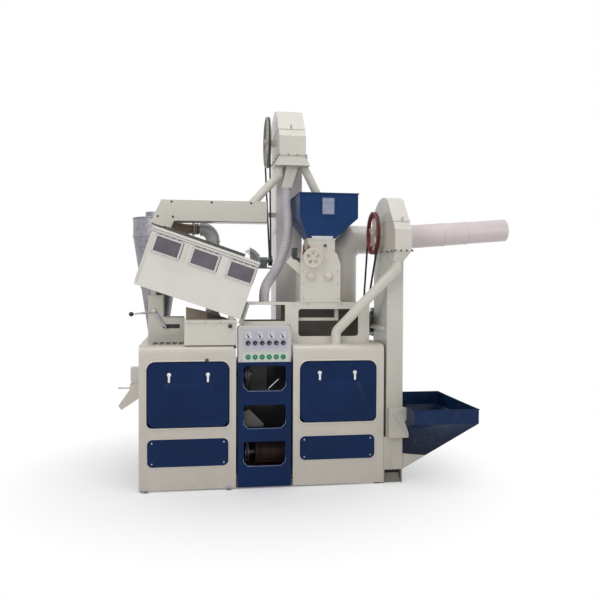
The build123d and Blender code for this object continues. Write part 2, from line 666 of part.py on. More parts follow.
def drive_box():
    """Crank box under the low end of the deck, with a drip edge and a filler knob."""
    x0, x1, y0, y1, top = DRIVE_BOX
    box = block(x0, x1, y0, y1, CABINET_TOP, top)
    box -= block(x0 + SHEET, x1 - SHEET, y0 + SHEET, y1 - SHEET, CABINET_TOP, top - SHEET)
    box += block(x0 - 4, x1 + 4, y0 - 8, y1, top - 20, top - 14)
    box -= block(x0 + SHEET, x1 - SHEET, y0 + SHEET, y1 - SHEET, top - 21, top - 13)
    x, z = x1 - 53, top - 45
    return box + rod((x, y0, z), (x, y0 - 16, z), 5) + Pos(x, y0 - 18, z) * Sphere(14)


def adjust_lever():
    """A bell crank on a pin in the portal: ball handle to the left, pull rod to the right."""
    x, z = LEVER_AT
    y = PORTAL_Y[0] - 12

    def place(shift):
        return x + shift[0], y, z + shift[1]

    lever = rod((x, y - 7, z), (x, PORTAL_Y[0] - LOOSE, z), 13)
    lever += rod((x, y, z), (x, PORTAL_Y[0] + PORTAL_T, z), LEVER_PIN_R)
    arm = FilletPolyline((x, y, z), place(LEVER_KNEE), place(LEVER_KNOB), radius=60)
    lever += sweep(Plane(origin=arm @ 0, z_dir=arm % 0) * Circle(LEVER_R), path=arm)
    lever += rod((x, y, z), place(LEVER_ROD_END), LEVER_R - 1)
    return lever + Pos(*place(LEVER_KNOB)) * Rot(0, 0, 90) * Sphere(LEVER_KNOB_R)


# Husker: stand, body with two rubber rolls, neck and hopper


def deck_side(z, gap):
    """Place along x beside the slanting right end of the deck, at a height z."""
    low_x, low_z = deck_point(DECK_LENGTH, DECK_HEIGHT)
    return low_x + (z - low_z) * math.tan(SLOPE) + gap


def husker_stand():
    """A folded box frame: tall over the right cabinet, shallow over the control box."""
    x1, step = STAND_RIGHT, RIGHT_X
    y0, y1 = STAND_Y
    t = STAND_T
    low, high, sill = CABINET_TOP, STAND_TOP, CONTROL_TOP
    top_x, sill_x = deck_side(high, STAND_GAP), deck_side(sill, STAND_GAP)
    outer = outline([(sill_x, sill), (step, sill), (step, low), (x1, low), (x1, high), (top_x, high)])
    floor = [(sill_x + 2 * t, sill + t), (step + t, sill + t), (step + t, low), (x1 - t, low)]
    inner = outline(floor + [(x1 - t, high - t), (top_x + t, high - t)])
    stand = across(outer, y0, y1) - across(inner, y0 + t, y1 - t)
    z0, z1 = SILL_WINDOW_Z
    low_x, high_x = deck_side(z0, STAND_GAP + 18), deck_side(z1, STAND_GAP + 18)
    window = outline([(low_x, z0), (step - 47, z0), (step - 47, z1), (high_x, z1)])
    for y in (y0, y1 - t):
        stand -= across(rounded(*STAND_WINDOW, 24), y - 1, y + t + 1)
        stand -= across(window, y - 1, y + t + 1)
    throat_x, throat_y = inset_box(BODY_X, BODY_THROAT_INSET), inset_box(BODY_Y, BODY_THROAT_INSET)
    bar_y, post = (y0 + 60, y0 + 90), throat_x[1] + 6
    stand += block(step - 30, post + 30, *bar_y, z0, z0 + 24) + block(step - 30, step, *bar_y, sill + 2, z0 + 24)
    stand += block(post, post + 30, *bar_y, z0, high - 2)
    stand -= block(*throat_x, *throat_y, high - t - 1, high + 1)
    x, y = HOSE_END
    return stand - rod((x, y, high - t - 1), (x, y, high + 1), HOSE_R - 4)


def husker_body():
    """Box with a sloping right shoulder, a foot flange, a neck with its gate knob and a lug."""
    x0, x1 = BODY_X
    y0, y1 = BODY_Y
    t, (cut_w, cut_h) = BODY_T, BODY_SHOULDER
    shape = [(x0, STAND_TOP), (x1, STAND_TOP), (x1, BODY_TOP - cut_h), (x1 - cut_w, BODY_TOP), (x0, BODY_TOP)]
    room = [(x0 + t, STAND_TOP), (x1 - t, STAND_TOP), (x1 - t, BODY_TOP - cut_h - 1)]
    room += [(x1 - cut_w - t + 1, BODY_TOP - t), (x0 + t, BODY_TOP - t)]
    body = across(outline(shape), y0, y1)
    body = fillet(body.edges().filter_by(Axis.Y).sort_by(Axis.Z)[-2:], 14)
    body += block(x0 - 10, x1 + 10, y0 - 8, y1, STAND_TOP, STAND_TOP + 8)
    body -= across(outline(room), y0 + t, y1 - t)
    body += block(*NECK_X, *NECK_Y, BODY_TOP - 1, NECK_TOP)
    body -= block(*inset_box(NECK_X, t), *inset_box(NECK_Y, t), BODY_TOP - t - 1, NECK_TOP)
    body += block(NECK_X[0] - 6, NECK_X[1] + 6, NECK_Y[0] - 6, NECK_Y[0], NECK_TOP - 10, NECK_TOP)
    knob_x, knob_z = (NECK_X[0] + NECK_X[1]) / 2 + 26, (BODY_TOP + NECK_TOP) / 2
    knob = rod((knob_x, NECK_Y[0], knob_z), (knob_x, NECK_Y[0] - 20, knob_z), 17)
    body += fillet(knob.edges().filter_by(GeomType.CIRCLE).sort_by(Axis.Y)[0], 5)
    lug = outline([(x0, BODY_TOP - 182), (x0, BODY_TOP - 86), (x0 - 75, BODY_TOP - 30), (x0 - 112, BODY_TOP - 78)])
    body += across(lug, y0 + 30, y0 + 60)
    for side in (-1, 1):
        x = ROLL_X + side * ROLL_OFFSET
        for near, far in ((y0 - 16, y0 + t), (y1 - t, y1 + 16)):
            body += rod((x, near, ROLL_Z), (x, far, ROLL_Z), ROLL_SHAFT_R + 18)
            body -= rod((x, near - 1, ROLL_Z), (x, far + 1, ROLL_Z), ROLL_SHAFT_R + SHAFT_FIT)
    x, z = WHEEL_AT
    body += rod((x, y0, z), (x, y0 - 14, z), WHEEL_SHAFT_R + 10)
    return body - rod((x, y0 - 15, z), (x, y0 + t + 1, z), WHEEL_SHAFT_R + SHAFT_FIT)


def roll(side):
    """Rubber roll on a steel hub and shaft that runs through both walls of the body."""
    x = ROLL_X + side * ROLL_OFFSET
    y0, y1 = BODY_Y
    drum = rod((x, y0 + ROLL_INSET, ROLL_Z), (x, y1 - ROLL_INSET, ROLL_Z), ROLL_R)
    drum = chamfer(drum.edges().filter_by(GeomType.CIRCLE), 3)
    for y in (y0 + ROLL_INSET, y1 - ROLL_INSET - 18):
        drum -= rod((x, y, ROLL_Z), (x, y + 18, ROLL_Z), ROLL_R - 18)
    return drum + rod((x, y0 - 22, ROLL_Z), (x, y1 + 22, ROLL_Z), ROLL_SHAFT_R)


def hand_wheel():
    """Cast wheel with a broad rim and a dished web with five holes; its spindle sets the nip."""
    x, z = WHEEL_AT
    broad, deep = WHEEL_RIM
    wheel = rod((x, WHEEL_Y - deep / 2, z), (x, WHEEL_Y + deep / 2, z), WHEEL_R)
    wheel = fillet(wheel.edges().filter_by(GeomType.CIRCLE), 5)
    for y in (WHEEL_Y - deep / 2 - 1, WHEEL_Y + 3):
        wheel -= rod((x, y, z), (x, y + deep / 2 - 2, z), WHEEL_R - broad)
    pitch_r = (WHEEL_R - broad) * 0.66
    for i in range(WHEEL_HOLES):
        angle = 2 * math.pi * (i + 0.25) / WHEEL_HOLES
        cx, cz = x + pitch_r * math.cos(angle), z + pitch_r * math.sin(angle)
        wheel -= rod((cx, WHEEL_Y - deep, cz), (cx, WHEEL_Y + deep, cz), WHEEL_HOLE_R)
    wheel += rod((x, WHEEL_Y - 14, z), (x, BODY_Y[0] - 14 - LOOSE, z), 17)
    return wheel + rod((x, WHEEL_Y, z), (x, BODY_Y[0] + 40, z), WHEEL_SHAFT_R)


def rect_wire(x, y, z):
    """A level rectangle between two x values and two y values."""
    return Face(Wire.make_polygon([(x[0], y[0], z), (x[1], y[0], z), (x[1], y[1], z), (x[0], y[1], z)]))


def hopper_solid(inset):
    x, y = inset_box(HOPPER_X, inset), inset_box(HOPPER_Y, inset)
    throat_x, throat_y = inset_box(NECK_X, inset), inset_box(NECK_Y, inset)
    band = block(*x, *y, HOPPER_FOLD, HOPPER_TOP)
    return band + loft([rect_wire(throat_x, throat_y, NECK_TOP), rect_wire(x, y, HOPPER_FOLD)], ruled=True)


def husker_hopper():
    hopper = hopper_solid(0) - hopper_solid(HOPPER_T)
    x0, x1 = HOPPER_X
    y0, y1 = HOPPER_Y
    lip = block(x0 - 8, x1 + 8, y0 - 8, y1 + 8, HOPPER_TOP - 4, HOPPER_TOP)
    hopper += lip - block(x0, x1, y0, y1, HOPPER_TOP - 5, HOPPER_TOP + 1)
    mid, low, high = (x0 + x1) / 2 - 7, HOPPER_FOLD + 16, HOPPER_TOP - 24
    hopper += block(mid - 63, mid + 63, y0 - 6, y0, low, high)
    return hopper - block(mid - 49, mid + 49, y0 - 7, y0 + HOPPER_T + 1, low + 14, high - 14)


# Bucket elevators: trunk, head with a slanted front and a round back, and their outlets


def head_face(y, z, inset):
    """Side view of an elevator head: overhanging outlet, slanted hood, arched top."""
    front, back = y[0] - HEAD_OVERHANG + inset, y[1] - inset
    base = z - (1 if inset else 0)
    shoulder = z + 165 - inset / 2
    crown = z + 412 - inset
    hood = front + 222
    low_back = z + 350
    lines = Polyline((hood, crown), (front, shoulder), (front, base), (back, base), (back, low_back))
    arc = ThreePointArc((back, low_back), ((hood + back) / 2 + 30, z + 438 - inset), (hood, crown))
    return make_face(lines + arc)


def leg(x, y, z0, z1):
    trunk = block(*x, *y, z0, z1)
    return trunk - block(*inset_box(x, LEG_T), *inset_box(y, LEG_T), z0 + LEG_T, z1)


def elevator_head(x, y, z, pulley_z):
    """Hollow head with a split flange and a bearing on the pulley side."""
    head = along(head_face(y, z, 0), *x)
    rise, tall = HEAD_SEAM
    lip = block(x[0] - 4, x[1] + 4, y[0] - HEAD_OVERHANG - 4, y[1] + 4, z + rise, z + rise + tall)
    head += along(head_face(y, z, -4), x[0] - 4, x[1] + 4) & lip
    head -= along(head_face(y, z, LEG_T), *inset_box(x, LEG_T))
    rim = block(x[0] - 10, x[1] + 10, y[0] - HEAD_OVERHANG - 10, y[1] + 8, z, z + 8)
    head += rim - block(*inset_box(x, LEG_T), y[0] - HEAD_OVERHANG + LEG_T, y[1] - LEG_T, z - 1, z + 9)
    mid = (y[0] + y[1]) / 2
    head += rod((x[0], mid, pulley_z), (x[0] - 12, mid, pulley_z), HEAD_SHAFT_R + 24)
    return head - rod((x[0] - 13, mid, pulley_z), (x[0] + LEG_T + 1, mid, pulley_z), HEAD_SHAFT_R + SHAFT_FIT)


def left_elevator_leg():
    return leg(LEFT_LEG_X, LEFT_LEG_Y, FRAME_TOP, LEFT_HEAD_Z)


def left_funnel(inset):
    """The distributor under the head flares outwards to its three outlets."""
    x0, x1 = inset_box(LEFT_LEG_X, inset)
    y0, y1 = LEFT_LEG_Y[0] - HEAD_OVERHANG + inset, LEFT_LEG_Y[0] - inset
    top = rect_wire((x0, x1), (y0, y1), LEFT_HEAD_Z)
    low_x = (x0 - FUNNEL_FLARE, x1 + FUNNEL_FLARE)
    low = rect_wire(low_x, (y0 - 10, y1), LEFT_HEAD_Z - FUNNEL_H)
    return loft([low, top], ruled=True)


def left_elevator_head():
    head = elevator_head(LEFT_LEG_X, LEFT_LEG_Y, LEFT_HEAD_Z, LEFT_PULLEY_Z)
    head += left_funnel(0) - left_funnel(LEG_T)
    x0, x1 = LEFT_LEG_X[0] - FUNNEL_FLARE, LEFT_LEG_X[1] + FUNNEL_FLARE
    y0, y1 = LEFT_LEG_Y[0] - HEAD_OVERHANG - 10, LEFT_LEG_Y[0]
    floor = block(x0, x1, y0, y1, FUNNEL_LOW, FUNNEL_LOW + LEG_T)
    for x in SPOUT_TOPS:
        floor -= rod((x, FUNNEL_Y, FUNNEL_LOW - 1), (x, FUNNEL_Y, FUNNEL_LOW + 9), SPOUT_R - LEG_T)
    return head + floor


def right_elevator_leg():
    """Trunk, wider boot with a foot, the front throat plate and the low intake chute."""
    x, y = RIGHT_LEG_X, RIGHT_LEG_Y
    trunk = leg(x, y, 0, RIGHT_HEAD_Z)
    boot = leg((x[0] - BOOT_SIDE, x[1]), (y[0] - 6, y[1] + 6), 0, BOOT_TOP)
    trunk += boot - block(*inset_box(x, LEG_T), *inset_box(y, LEG_T), LEG_T, BOOT_TOP + 1)
    trunk += block(x[0] - BOOT_SIDE, x[1], y[0] - 6, y[1] + 6, BOOT_TOP, BOOT_TOP + 4)
    trunk -= block(*inset_box(x, LEG_T), *inset_box(y, LEG_T), BOOT_TOP - 1, BOOT_TOP + 5)
    left, right = x[0] - BOOT_SIDE + 6, x[1] - 6
    trunk += block(left - 3, right + 3, y[0] - 6, y[0] + 63, 0, FOOT_H + LEG_T)
    recess = outline([(left, -1), (right, -1), (right, FOOT_H), (left, FOOT_H)])
    trunk -= across(recess, y[0] - 7, y[0] + 60)
    throat = block(*THROAT_X, *THROAT_Y, *THROAT_Z)
    trunk += throat - block(THROAT_X[0] + 4, THROAT_X[1] + 1, THROAT_Y[0] + 4, 0, *inset_box(THROAT_Z, 4))
    chute = intake_funnel(0) - intake_funnel(INTAKE_T)
    trunk += chute & block(x[1], INTAKE_X[1], *INTAKE_Y, 0, CHUTE_SPLIT_Z)
    return trunk - block(x[1] - LEG_T - 1, x[1] + 1, y[0] + 12, y[1] - 12, MOUTH_Z[0] + 40, MOUTH_Z[1] - 20)


def right_elevator_head():
    head = elevator_head(RIGHT_LEG_X, RIGHT_LEG_Y, RIGHT_HEAD_Z, RIGHT_PULLEY_Z)
    return head + (right_funnel(0) - right_funnel(LEG_T))


def right_funnel(inset):
    """Tapers down and to the left, towards the pipe that feeds the right cabinet."""
    x = inset_box(RIGHT_LEG_X, inset)
    y = (RIGHT_LEG_Y[0] - HEAD_OVERHANG + inset, RIGHT_LEG_Y[0] - inset)
    top = rect_wire(x, y, RIGHT_HEAD_Z)
    half = 42 - inset
    fx, fy, fz = FEED_TOP
    return loft([rect_wire((fx - half, fx + half), (fy - half, fy + half), fz), top], ruled=True)


# Intake hopper: level rim, upright band, and a floor that slopes to the boot


def intake_funnel(inset):
    """Solid under the band: from the rim rectangle down to the boot opening."""
    x0, x1 = INTAKE_X[0] + inset, INTAKE_X[1] - inset
    y0, y1 = INTAKE_Y[0] + inset, INTAKE_Y[1] - inset
    z = INTAKE_RIM_Z - INTAKE_BAND
    near, far = RIGHT_LEG_Y[0] + inset, RIGHT_LEG_Y[1] - inset
    wall = RIGHT_LEG_X[1]
    low, high = MOUTH_Z[0] + 2 * inset, MOUTH_Z[1]
    mouth = [(wall, near, high), (wall, near, low), (wall, far, low), (wall, far, high)]
    band = [(x0, y0, z), (x1, y0, z), (x1, y1, z), (x0, y1, z)]
    faces = [Face(Wire.make_polygon(points)) for points in (mouth, band)]
    return loft(faces, ruled=True)


def intake_hopper():
    x0, x1 = INTAKE_X
    y0, y1 = INTAKE_Y
    z0, z1 = INTAKE_RIM_Z - INTAKE_BAND, INTAKE_RIM_Z
    band = block(x0, x1, y0, y1, z0, z1)
    band -= block(x0 + INTAKE_T, x1 - INTAKE_T, y0 + INTAKE_T, y1 - INTAKE_T, z0, z1)
    lower = intake_funnel(0) - intake_funnel(INTAKE_T)
    hopper = band + (lower & block(RIGHT_LEG_X[1], x1 + 1, y0 - 1, y1 + 1, CHUTE_SPLIT_Z, z1))
    return hopper - block(*THROAT_X, *THROAT_Y, *THROAT_Z)


# Pulleys, belts and drives


def pulley(x, y, z, radius, hub_r, arms):
    """A pulley on an axle along x, with one belt groove and, if large, tapered arms."""
    half = PULLEY_W / 2
    wheel = rod((x - half, y, z), (x + half, y, z), radius)
    ring = rod((x - GROOVE_W / 2, y, z), (x + GROOVE_W / 2, y, z), radius + 1)
    wheel -= ring - rod((x - GROOVE_W / 2, y, z), (x + GROOVE_W / 2, y, z), radius - GROOVE_D)
    if arms:
        rim, boss = radius - GROOVE_D - 9, hub_r + 14
        wheel -= rod((x - half, y, z), (x + half, y, z), rim) - rod((x - half, y, z), (x + half, y, z), boss)
        arm = outline([(0, -15), (rim + 3, -10), (rim + 3, 10), (0, 15)])
        for i in range(arms):
            turn = Pos(0, y, z) * Rot(90 + 360 * i / arms, 0, 0)
            blade = turn * along(arm, x - 7, x + 7)
            wheel += blade - rod((x - 8, y, z), (x + 8, y, z), hub_r)
    return wheel


def belt(x, wheel, drive):
    """A V belt around two pulleys: tangent runs and arcs, seated clear of both grooves."""
    def loop(grow):
        (y1, z1, r1), (y2, z2, r2) = [(y, z, r - GROOVE_D + LOOSE + grow) for y, z, r in (wheel, drive)]
        base = math.atan2(z2 - z1, y2 - y1)
        spread = math.acos((r1 - r2) / math.hypot(y2 - y1, z2 - z1))

        def at(cy, cz, r, angle):
            return cy + r * math.cos(angle), cz + r * math.sin(angle)

        a1, a2 = at(y1, z1, r1, base + spread), at(y1, z1, r1, base - spread)
        b1, b2 = at(y2, z2, r2, base + spread), at(y2, z2, r2, base - spread)
        far_1, far_2 = at(y1, z1, r1, base + math.pi), at(y2, z2, r2, base)
        return make_face([
            Line(a1, b1), ThreePointArc(b1, far_2, b2), Line(b2, a2), ThreePointArc(a2, far_1, a1)
        ])

    half = GROOVE_W / 2 - LOOSE
    return along(loop(GROOVE_D - 1) - loop(0), x - half, x + half)


def left_head_pulley():
    wheel = pulley(LEFT_PULLEY_X, LEFT_PULLEY_Y, LEFT_PULLEY_Z, LEFT_PULLEY_R, HEAD_SHAFT_R, 5)
    x0 = LEFT_PULLEY_X - 24
    x1 = LEFT_LEG_X[0] + 30
    y, z = LEFT_PULLEY_Y, LEFT_PULLEY_Z
    wheel += rod((x0 + 6, y, z), (LEFT_LEG_X[0] - 12 - LOOSE, y, z), HEAD_SHAFT_R + 12)
    return wheel + rod((x0, y, z), (x1, y, z), HEAD_SHAFT_R)


def right_head_pulley():
    wheel = pulley(RIGHT_PULLEY_X, RIGHT_PULLEY_Y, RIGHT_PULLEY_Z, RIGHT_PULLEY_R, HEAD_SHAFT_R, 5)
    x0 = RIGHT_PULLEY_X - 24
    y, z = RIGHT_PULLEY_Y, RIGHT_PULLEY_Z
    wheel += rod((x0 + 6, y, z), (RIGHT_LEG_X[0] - 12 - LOOSE, y, z), HEAD_SHAFT_R + 12)
    return wheel + rod((x0, y, z), (RIGHT_LEG_X[0] + 30, y, z), HEAD_SHAFT_R)


def left_drive_pulley():
    y, z = LEFT_DRIVE_AT
    wheel = pulley(LEFT_PULLEY_X, y, z, SMALL_PULLEY_R, HEAD_SHAFT_R, 0)
    return wheel + rod((LEFT_BEARING_X[0] - 10, y, z), (LEFT_PULLEY_X + 22, y, z), HEAD_SHAFT_R)


def right_motor_pulley():
    y, z = RIGHT_DRIVE_AT
    wheel = pulley(RIGHT_PULLEY_X, y, z, SMALL_PULLEY_R, HEAD_SHAFT_R, 0)
    return wheel + rod((RIGHT_PULLEY_X - 20, y, z), (RIGHT_MOTOR_X + 30, y, z), HEAD_SHAFT_R)


def left_bearing():
    """Bearing pedestal for the left drive pulley, on a bracket from the side of the trunk."""
    y, z = LEFT_DRIVE_AT
    x0, x1 = LEFT_BEARING_X
    shelf = z - SMALL_PULLEY_R - 14
    piece = rod((x0, y, z), (x1, y, z), 30)
    piece += block(x0 + 5, x1 - 5, y - 28, y + 28, shelf, z)
    piece += block(x0, x1 + 24, y - 42, y + 160, shelf - BRACKET_T, shelf)
    piece += block(x1 + 24, LEFT_LEG_X[0], LEFT_LEG_Y[0] + 12, y + 160, shelf - BRACKET_T, shelf)
    piece += block(LEFT_LEG_X[0] - 6, LEFT_LEG_X[0], LEFT_LEG_Y[0] + 12, y + 160, shelf - 50, shelf + 6)
    return piece - rod((x0 - 1, y, z), (x1 + 1, y, z), HEAD_SHAFT_R + SHAFT_FIT)


def motor_body(x0, x1, y, z, radius, shaft_hole):
    """Foot mounted motor along x: end bells, ribbed frame, fan cover and terminal box."""
    body = rod((x0, y, z), (x0 + 22, y, z), radius * 0.9) + rod((x0 + 22, y, z), (x1 - 30, y, z), radius * 0.88)
    body += rod((x1 - 30, y, z), (x1, y, z), radius * 0.96)
    for i in range(6):
        body += Pos((x0 + x1) / 2 - 4, y, z) * Rot(30 * i, 0, 0) * Box(x1 - x0 - 60, 4, 2 * radius)
    body -= rod((x0 - 1, y, z), (x0 + 32, y, z), shaft_hole + SHAFT_FIT)
    return body + block(x0 + 40, x1 - 60, y - 38, y + 38, z + radius - 12, z + radius + 30)


def right_motor():
    """Motor behind the trunk, on a shelf bolted to the trunk's back."""
    y, z = RIGHT_DRIVE_AT
    x0, x1 = RIGHT_MOTOR_X, RIGHT_MOTOR_X + MOTOR_LENGTH
    back = RIGHT_LEG_Y[1]
    shelf = z - MOTOR_R - 20
    piece = motor_body(x0, x1, y, z, MOTOR_R, HEAD_SHAFT_R)
    piece += block(x0 + 40, x0 + 130, y - 70, y + 70, shelf, z - MOTOR_R * 0.6)
    left, right = RIGHT_LEG_X
    piece += block(left, right, back, y + 84, shelf - BRACKET_T, shelf)
    return piece + block(left, right, back, back + BRACKET_T, shelf - 90, shelf)


def mill_rotor():
    """Large driven pulley on the milling shaft, whose screw and roller sit in the chamber."""
    y, z = MILL_Y, MILL_Z
    wheel = pulley(MILL_PULLEY_X, y, z, MILL_PULLEY_R, MILL_SHAFT_R, 5)
    wheel += rod((MILL_PULLEY_X - 30, y, z), (MILL_PULLEY_X + 30, y, z), MILL_SHAFT_R + 14)
    wheel += rod((CHAMBER_X[0] + 40, y, z), (MILL_PULLEY_X + 40, y, z), MILL_SHAFT_R)
    drum = rod((CHAMBER_X[0] + 60, y, z), (CHAMBER_X[1] - 60, y, z), 52)
    return wheel + chamfer(drum.edges().filter_by(GeomType.CIRCLE), 6)


def mill_chamber():
    """Cast chamber with a feed throat above and a rice outlet to the left, on a sheet stand."""
    x0, x1 = CHAMBER_X
    y, z = MILL_Y, MILL_Z
    floor = FRAME_TOP + SHEET
    case = rod((x0, y, z), (x1, y, z), CHAMBER_R)
    for x in (x0, x1 - 16):
        case += rod((x, y, z), (x + 16, y, z), CHAMBER_R + 14)
    stand = block(x0 + 60, x1 - 60, y - 70, y + 70, floor, z)
    stand -= block(x0 + 66, x1 - 66, y - 71, y + 64, floor + 40, z - CHAMBER_R - 40)
    case += stand + block(x0 + 30, x1 - 30, y - 95, y + 95, floor, floor + 20)
    case += block(x1 - 190, x1 - 60, y - 55, y + 55, z, CABINET_TOP - SHEET)
    outlet_y, outlet_z = inset_box(SPOUT_Y, 8), (z - 42, z + 46)
    case += block(SHEET, x0, *outlet_y, *outlet_z)
    case -= block(SHEET - 1, x0 - 16, *inset_box(outlet_y, 3), *inset_box(outlet_z, 3))
    case -= block(x1 - 184, x1 - 66, y - 49, y + 49, z, CABINET_TOP - SHEET + 1)
    case -= rod((x0 + 20, y, z), (x1 - 30, y, z), CHAMBER_R - 12)
    case -= rod((x0 - 17, y + 12, z), (x0 + 21, y + 12, z), 26)
    return case - rod((x1 - 31, y, z), (x1 + 1, y, z), MILL_SHAFT_R + SHAFT_FIT)


def main_motor():
    """Main motor under the mill drive, on slide rails that stand on the base frame."""
    x0, x1 = MAIN_MOTOR_X
    y, z = MILL_Y, MOTOR_Z
    piece = motor_body(x0, x1, y, z, MAIN_MOTOR_R, MILL_SHAFT_R)
    piece += block(x0 + 40, x1 - 60, y - 110, y + 110, z - MAIN_MOTOR_R - 10, z - MAIN_MOTOR_R + 14)
    return piece + block(x0 + 20, x1 - 20, RAIL_INSET + 20, y + 150, FRAME_TOP, z - MAIN_MOTOR_R - 10)


def main_pulley():
    y, z = MILL_Y, MOTOR_Z
    wheel = pulley(MILL_PULLEY_X, y, z, MAIN_PULLEY_R, MILL_SHAFT_R, 0)
    return wheel + rod((MILL_PULLEY_X - 20, y, z), (MAIN_MOTOR_X[0] + 30, y, z), MILL_SHAFT_R)


# Ducts, pipes and hose


def transfer_duct():
    """Square duct whose left end turns down on to the deck, held by an arm to the trunk."""
    (low, high), end, corner = BEAM_Z, BEAM_END, DECK_CORNER[0]
    t = BEAM_T
    shape = [(corner + 37, high), (end, high), (end, low), (corner + 137, low), (corner + 108, low - 63), (corner - 50, low - 10)]
    inner = [(corner + 40, high - t), (end - t, high - t), (end - t, low + t), (corner + 135, low + t)]
    inner += [(corner + 105, low - 65), (corner - 48, low - 12)]
    duct = across(outline(shape), *BEAM_Y)
    duct -= across(outline(inner), *inset_box(BEAM_Y, t))
    arm_y = (LEFT_LEG_Y[0] + 12, LEFT_LEG_Y[0] + 62)
    arm_z = (low + 67, low + 107)
    duct += block(end - 52, end - 2, BEAM_Y[1], arm_y[1], *arm_z)
    duct += block(end - 52, LEFT_LEG_X[0], *arm_y, *arm_z)
    x = LEFT_SPOUT_FOOT
    return duct - rod((x, FUNNEL_Y, high - 11), (x, FUNNEL_Y, high + 1), SPOUT_R - LEG_T)


def left_spout():
    """Ball elbow under the distributor and a slanting pipe to the top of the duct."""
    def solid(radius, ball):
        x, y = SPOUT_TOPS[0], FUNNEL_Y
        elbow = (x, y, SPOUT_ELBOW_Z)
        piece = rod((x, y, FUNNEL_LOW + 1), elbow, radius) + Pos(*elbow) * Sphere(ball)
        return piece + rod(elbow, (LEFT_SPOUT_FOOT, y, BEAM_Z[1] - 30), radius)

    spout = solid(SPOUT_R, SPOUT_R + 4) - solid(SPOUT_R - LEG_T, SPOUT_R + 1)
    reach = (LEFT_SPOUT_FOOT - 200, SPOUT_TOPS[0] + 100)
    return spout & block(*reach, FUNNEL_Y - 60, FUNNEL_Y + 60, BEAM_Z[1], FUNNEL_LOW)


def right_spout():
    """Slanting pipe from the distributor into the husker's hopper."""
    x, y = SPOUT_TOPS[2], FUNNEL_Y
    foot_x, foot_z = RIGHT_SPOUT_FOOT
    pipe = rod((x - 12, y, FUNNEL_LOW + 30), (foot_x, y, foot_z), SPOUT_R)
    pipe -= rod((x - 14, y, FUNNEL_LOW + 34), (foot_x + 4, y, foot_z - 7), SPOUT_R - LEG_T)
    return pipe & block(x - 50, foot_x + 100, y - 60, y + 60, foot_z - 18, FUNNEL_LOW)


def feed_pipe():
    """From the right head's funnel down at a slant, then straight into the cabinet's top."""
    x, y = FEED_FOOT
    bend = (FEED_TOP[0], FEED_TOP[1], FEED_TOP[2] - 55)
    return tube([FEED_TOP, bend, (x, y, CABINET_TOP + 95), (x, y, CABINET_TOP)], [60, 70], FEED_R, LEG_T)


def separator_hose():
    """Square adaptor, then a hose that swings forward and down to the middle of the stand."""
    x, y = SPOUT_TOPS[1], FUNNEL_Y
    mid, joint = HOSE_TOP

    def adaptor(inset):
        top, low = 50 - inset, 42 - inset
        upper = rect_wire((x - top, x + top), (y - low, y + low), FUNNEL_LOW)
        return loft([rect_wire((mid - low, mid + low), (y - low, y + low), joint - 12), upper], ruled=True)

    end_x, end_y = HOSE_END
    points = [
        (mid, y, joint), (mid, y, joint - 90), (mid + 11, y - 70, 2110), (mid - 6, y - 95, 1930),
        (mid - 88, y - 130, 1730), (end_x + 27, y - 190, 1600), (end_x, end_y, 1530), (end_x, end_y, STAND_TOP),
    ]
    return tube(points, list(HOSE_RADII), HOSE_R, LEG_T) + (adaptor(0) - adaptor(LEG_T))


def cyclone_face(inset):
    x, r, tip = 0, CYCLONE_R - inset, CYCLONE_TIP_R - inset
    return outline([
        (x, CABINET_TOP), (tip, CABINET_TOP), (r, CYCLONE_SHOULDER), (r, CYCLONE_TOP - inset), (x, CYCLONE_TOP - inset)
    ])


def turned(face, x, y):
    """An outline of radius and height turned about an upright axis."""
    return Pos(x, y, 0) * revolve(Plane.XZ * face, Axis.Z)


def cyclone_inlet(inset):
    """A box beside the body that narrows to the round end of the bran pipe."""
    near, far = CYCLONE_AT[1] - CYCLONE_R + 2 + inset, BRAN_AT[1] + INLET_H / 2 - inset
    low, high = BRAN_PIPE_Z - INLET_H / 2 + inset, BRAN_PIPE_Z + INLET_H / 2 - inset
    fold, end = INLET_X
    square = Face(Wire.make_polygon([(fold, near, low), (fold, far, low), (fold, far, high), (fold, near, high)]))
    ring = Plane(origin=(end, BRAN_AT[1], BRAN_PIPE_Z), z_dir=(1, 0, 0)) * Circle(BRAN_PIPE_R - inset)
    return block(CYCLONE_AT[0], fold, near, far, low, high) + loft([square, ring.face()])


def cyclone():
    """Turned body with a tangential inlet and an open outlet collar that dips inside."""
    x, y = CYCLONE_AT
    end = INLET_X[1]
    body = turned(cyclone_face(0), x, y) + cyclone_inlet(0)
    body += rod((x, y, CYCLONE_TOP), (x, y, COLLAR_TOP), COLLAR_R)
    body += rod((end, BRAN_AT[1], BRAN_PIPE_Z), (end + 12, BRAN_AT[1], BRAN_PIPE_Z), BRAN_PIPE_R + 14)
    body -= turned(cyclone_face(CYCLONE_T), x, y)
    body -= cyclone_inlet(CYCLONE_T)
    body -= rod((end - 1, BRAN_AT[1], BRAN_PIPE_Z), (end + 13, BRAN_AT[1], BRAN_PIPE_Z), BRAN_PIPE_R - LEG_T)
    dip = COLLAR_R - 2 * CYCLONE_T
    body += rod((x, y, DIP_Z), (x, y, CYCLONE_TOP), dip)
    body -= rod((x, y, DIP_Z - 1), (x, y, COLLAR_TOP + 1), dip - CYCLONE_T)
    return body - rod((x, y, CYCLONE_TOP), (x, y, COLLAR_TOP + 1), COLLAR_R - CYCLONE_T)


